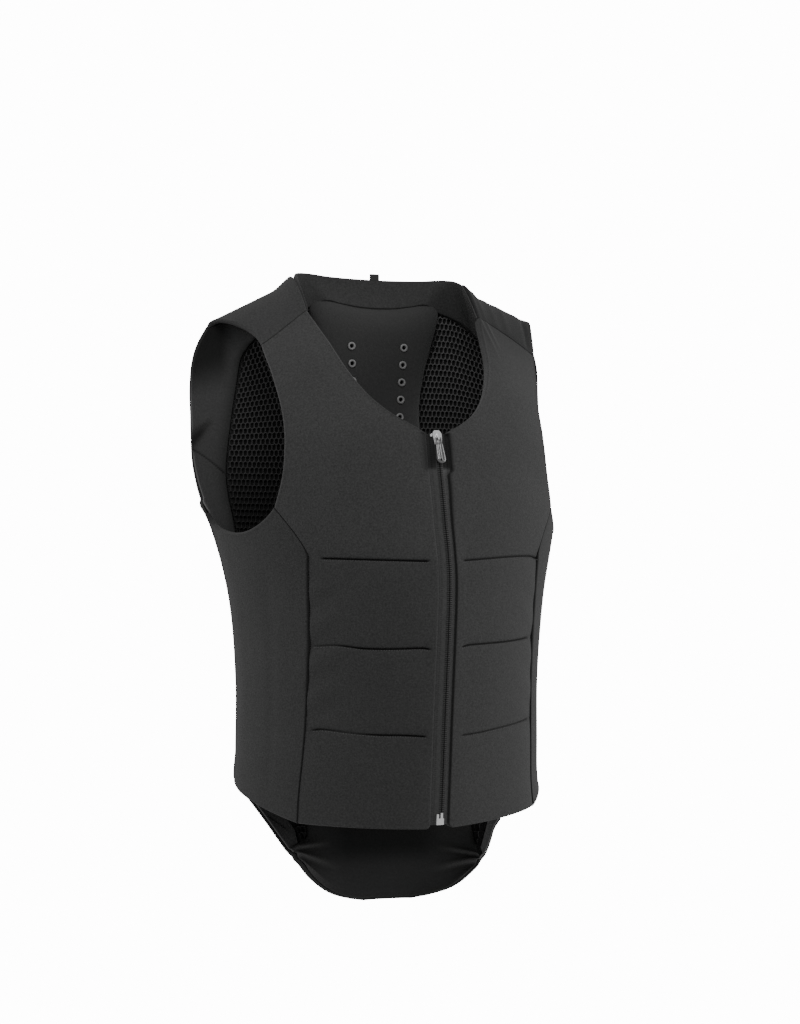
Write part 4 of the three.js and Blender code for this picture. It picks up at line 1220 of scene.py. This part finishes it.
def loop_point(t, side_way, out):
    """A tape that rises, turns over in a half circle and comes down, at a distance out from its middle."""
    fallen = np.clip(2 * np.abs(t) - 1, 0, 1)
    turned = np.pi / 2 * np.sign(t) * np.minimum(2 * np.abs(t), 1)
    y = LOOP["depth"] + out * np.sin(turned)
    z = LOOP["foot"] + LOOP["tall"] * (1 - fallen) + out * np.cos(turned)
    return np.stack([side_way * LOOP["wide"], y, z], -1)


tape_outer = loop_point(t, side_way, LOOP["radius"])
tape_inner = loop_point(t, side_way, LOOP["radius"] - LOOP["wall"])
hanger = wall_piece("hanger_tape", tape_outer, tape_inner, loop_tape.material)
sew(hanger, "hanger_loop")

# Zip tapes: two woven tapes that meet in the middle with fine ribs along both edges, sewn in under the
# fronts. At the top they run up into a pocket between the fronts, painted dark as shade.
TAPE_DEPTH = 3.4
TAPE_WALL = 1
TAPE_TUCK = 1
ZIP_SLIT = 0.2
TAPE_CUT = {"left": (0.012, 0.0034), "right": (0.014, 0.0052)}
ZIP_TOP = -160.4
ZIP_BOTTOM = -532
RIB_PITCH = 1.95
RIB_REACH = 3.2
SEAM_DOTS = 8.2
# The left tape has a lighter copy of the same weave: the difference is painted light.
zip_weave = {
    "left": stretch_cloth("zip_tape_weave_left_painted_light", 0.085, fleck=0.2, rib=0.7),
    "right": stretch_cloth("zip_tape_weave_right", 0.052, fleck=0.2, rib=0.7),
}
rib_rows = int((ZIP_TOP - ZIP_BOTTOM) / RIB_PITCH * 6)
for sign, side in SIDES:
    ring, u = grid(np.linspace(ZIP_BOTTOM, ZIP_TOP, rib_rows), np.linspace(0, 1, 22) ** 1.2)
    reach = zip_reach(ring, 0, side) + TAPE_TUCK
    x = mix(ZIP_SLIT, reach, u)
    turn = turn_at(sign * x + zip_middle(ring), ring)
    ribbed = fade(x, RIB_REACH, RIB_REACH - 0.8)
    wave = 0.5 + 0.5 * np.cos(TAU * ring / RIB_PITCH)
    rib = wave * ribbed * fade(x, 0, 0.5)
    seam_dots = 0.5 * (1 - wave) * bell(x - SEAM_DOTS, 0.8)
    # Painted shade: the slit where the tapes meet, the gaps between ribs, where a tape tucks under a front,
    # and the pocket at the top.
    meeting = bell(x, 0.6)
    tucked = 0.6 * fade(x, reach - 1.6, reach - 0.4)
    pocket = 0.75 * fade(ring, GARAGE_FROM[1], GARAGE_FROM[1] + 4) * fade(x, 3, 4)
    tape = wall_piece(
        f"zip_tape_cloth_{side}",
        lifted(turn, ring, 0.5 * rib - TAPE_DEPTH - 0.6 * np.exp(-x / 0.4)),
        lifted(turn, ring, np.full_like(x, -TAPE_DEPTH - TAPE_WALL)),
        zip_weave[side],
        np.clip(meeting + 0.85 * (1 - wave) * ribbed + seam_dots + tucked + pocket, 0, 1),
    )
    sew(tape, f"zip_tape_{side}")
    wide, area = TAPE_CUT[side]

# Zip coil: two helices of black nylon wire sewn to the backs of the tapes, one on each side of the slit,
# with one turn for each rib.
COIL = {"radius": 0.9, "wire": 0.34, "depth": 6.2, "steps": 10, "aside": 1.0, "foot": 2, "short": 8}
nylon = speckled("black_nylon_coil", 800, 0.012, 0.028, roughness=0.35, specular_ior_level=0.5)
turns = int((ZIP_TOP - ZIP_BOTTOM - COIL["short"]) / RIB_PITCH)
along = np.linspace(0, turns, turns * COIL["steps"])
ring = ZIP_BOTTOM + COIL["foot"] + along * RIB_PITCH
helices = []
for sign in (1, -1):
    x = sign * (COIL["aside"] + COIL["radius"] * np.cos(TAU * along)) + zip_middle(ring)
    helices.append(lifted(turn_at(x, ring), ring, COIL["radius"] * np.sin(TAU * along) - COIL["depth"]))
points, faces = wires(np.stack(helices), COIL["wire"], np.array([0, 0.3, 1.0]))
coil = make_piece("nylon_coil", points, faces, nylon.material)
sew(coil, "zip_coil")

# Zip slider, pull, stop and box: cast metal, plated, with copies of one plating in different tones. The
# pull hangs from the slider's bar, a flat tab with a raised loop on one half and ribs on the other.
ZIP_TILT = -0.35548
PULL_PIN = np.array([0, -148.932, -165.575])


def plated(name, low, high, metallic=1.0):
    """Plated metal whose tone and polish wander between two values."""
    made = speckled(name, 90, low, high, metallic=metallic)
    made.feed(made.shader.inputs["Roughness"], made.noise(150) * 0.2 + 0.3)
    return made.material


# Tones: bright on the slider and stop, a middle tone on the pull's raised loop and ribs, dark on the pull.
# The box's copy is less metallic, so that it looks lighter: painted light.
bright_plating = plated("bright_plated_metal", 0.75, 0.97)
relief_plating = plated("relief_plated_metal", 0.4, 0.5)
dull_plating = plated("dull_plated_metal", 0.15, 0.25)
lightened_plating = plated("lightened_plated_metal", 0.75, 0.97, 0.4)
ZIP_METAL = {
    "zip_slider": bright_plating,
    "zip_pull": dull_plating,
    "zip_top_stop": bright_plating,
    "zip_box": lightened_plating,
}
for node, plating in ZIP_METAL.items():
    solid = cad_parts[node]
    solid.data.materials.clear()
    solid.data.materials.append(plating)


def zip_frame(points):
    """Points on the zip's slope: turned about X by the zip's tilt and moved to the pull's pin."""
    cos, sin = np.cos(ZIP_TILT), np.sin(ZIP_TILT)
    x, y, z = np.moveaxis(points, -1, 0)
    return PULL_PIN + np.stack([x, cos * y - sin * z, sin * y + cos * z], -1)


PULL_FACE = -0.75
PULL_RELIEF = 0.5

# Raised loop: way along it, and place across and along the tab. Ribs: both ends, across and along the tab.
PULL_LOOP = np.array(
    [
        [0, 0.6, -6], [1, 0.7, -14], [2, 0.9, -21.5], [3, 2.4, -23.8], [4, 3.8, -21.5], [5, 3.4, -14],
        [6, 2.9, -6],
    ]
)
PULL_RIBS = ((-1.2, -6.0, -1.4, -22.0), (-2.6, -7.0, -3.0, -21.5))
step = np.linspace(0, PULL_LOOP[-1, 0], 61)
share = step / step[-1]
loop_x, loop_z = through_rows(PULL_LOOP, step)
paths = [np.stack([loop_x, np.full_like(step, PULL_FACE), loop_z], -1)]
for x0, z0, x1, z1 in PULL_RIBS:
    level = np.full_like(step, PULL_FACE + 0.2)
    paths.append(np.stack([mix(x0, x1, share), level, mix(z0, z1, share)], -1))
points, faces = wires(zip_frame(np.stack(paths)), PULL_RELIEF, np.array([0, 1.0, 0.35]), 8)
pull_relief = make_piece("pull_relief", points, faces, relief_plating)
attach(pull_relief, "pull")

# Floor, lights and camera: a pale floor well below the hanging vest, wide soft lights on both sides and
# above, and the camera a little to the wearer's right at the height of the chest.
FLOOR_DROP = -1500
FLOOR_RADIUS = 2250
floor_paint = speckled("pale_floor", 30, 0.86, 0.92, roughness=0.9)
radius, angle = grid([1, 600, FLOOR_RADIUS], np.linspace(0, TAU, 65)[:-1])
points = np.stack([radius * np.cos(angle), radius * np.sin(angle), np.full_like(angle, FLOOR_DROP)], -1)
faces = grid_faces(closed_rows(points))[:, ::-1]
floor = make_piece("pale_floor", points.reshape(-1, 3), faces, floor_paint.material)

BACKDROP = 14
FILL = 0.34
world = bpy.data.worlds.new("white_studio")
world.use_nodes = True
sky = world.node_tree.nodes["Background"]
sky.inputs["Color"].default_value = (1, 1, 1, 1)
rays = world.node_tree.nodes.new("ShaderNodeLightPath")
strength = world.node_tree.nodes.new("ShaderNodeMapRange")
strength.inputs["To Min"].default_value = FILL
strength.inputs["To Max"].default_value = BACKDROP
world.node_tree.links.new(rays.outputs["Is Camera Ray"], strength.inputs["Value"])
world.node_tree.links.new(strength.outputs["Result"], sky.inputs["Strength"])
bpy.context.scene.world = world

# Softboxes: name, azimuth from the front towards the wearer's left, elevation, power, width.
SOFTBOXES = (
    ("key", 58, 12, 17.4, 1.3),
    ("side", -110, 20, 12, 1.2),
    ("front", -28, 50, 16, 1.2),
    ("back", 160, 8, 10, 1.3),
)
LIGHT_DISTANCE = 2.2
LIGHT_CENTRE = -0.29
for name, turned, raised, power, wide in SOFTBOXES:
    light = bpy.data.lights.new(f"softbox_{name}", "AREA")
    light.energy = power
    light.size = wide
    lamp = bpy.data.objects.new(f"softbox_{name}", light)
    around, up = np.radians(turned), np.radians(raised)
    level = LIGHT_DISTANCE * np.cos(up)
    height = LIGHT_DISTANCE * np.sin(up) + LIGHT_CENTRE
    lamp.location = (level * np.sin(around), -level * np.cos(around), height)
    lamp.rotation_euler = (np.pi / 2 - up, 0, around)
    bpy.context.scene.collection.objects.link(lamp)

IMAGE_HEIGHT = 1024
FOCAL_PIXELS = 1700
LOWERED_PIXELS = 7
SENSOR = 36
CAMERA = {"turn": np.radians(22), "aside": 19.6, "away": 1752, "height": -229}
camera_data = bpy.data.cameras.new("camera")
camera_data.lens = SENSOR * FOCAL_PIXELS / IMAGE_HEIGHT
camera_data.sensor_width = SENSOR
camera_data.shift_y = -LOWERED_PIXELS / IMAGE_HEIGHT
camera = bpy.data.objects.new("camera", camera_data)
cos, sin = np.cos(CAMERA["turn"]), np.sin(CAMERA["turn"])
camera.location = (
    (CAMERA["aside"] * cos - CAMERA["away"] * sin) * MM,
    (-CAMERA["aside"] * sin - CAMERA["away"] * cos) * MM,
    CAMERA["height"] * MM,
)
camera.rotation_euler = (np.pi / 2, 0, -CAMERA["turn"])
bpy.context.scene.collection.objects.link(camera)
bpy.context.scene.camera = camera
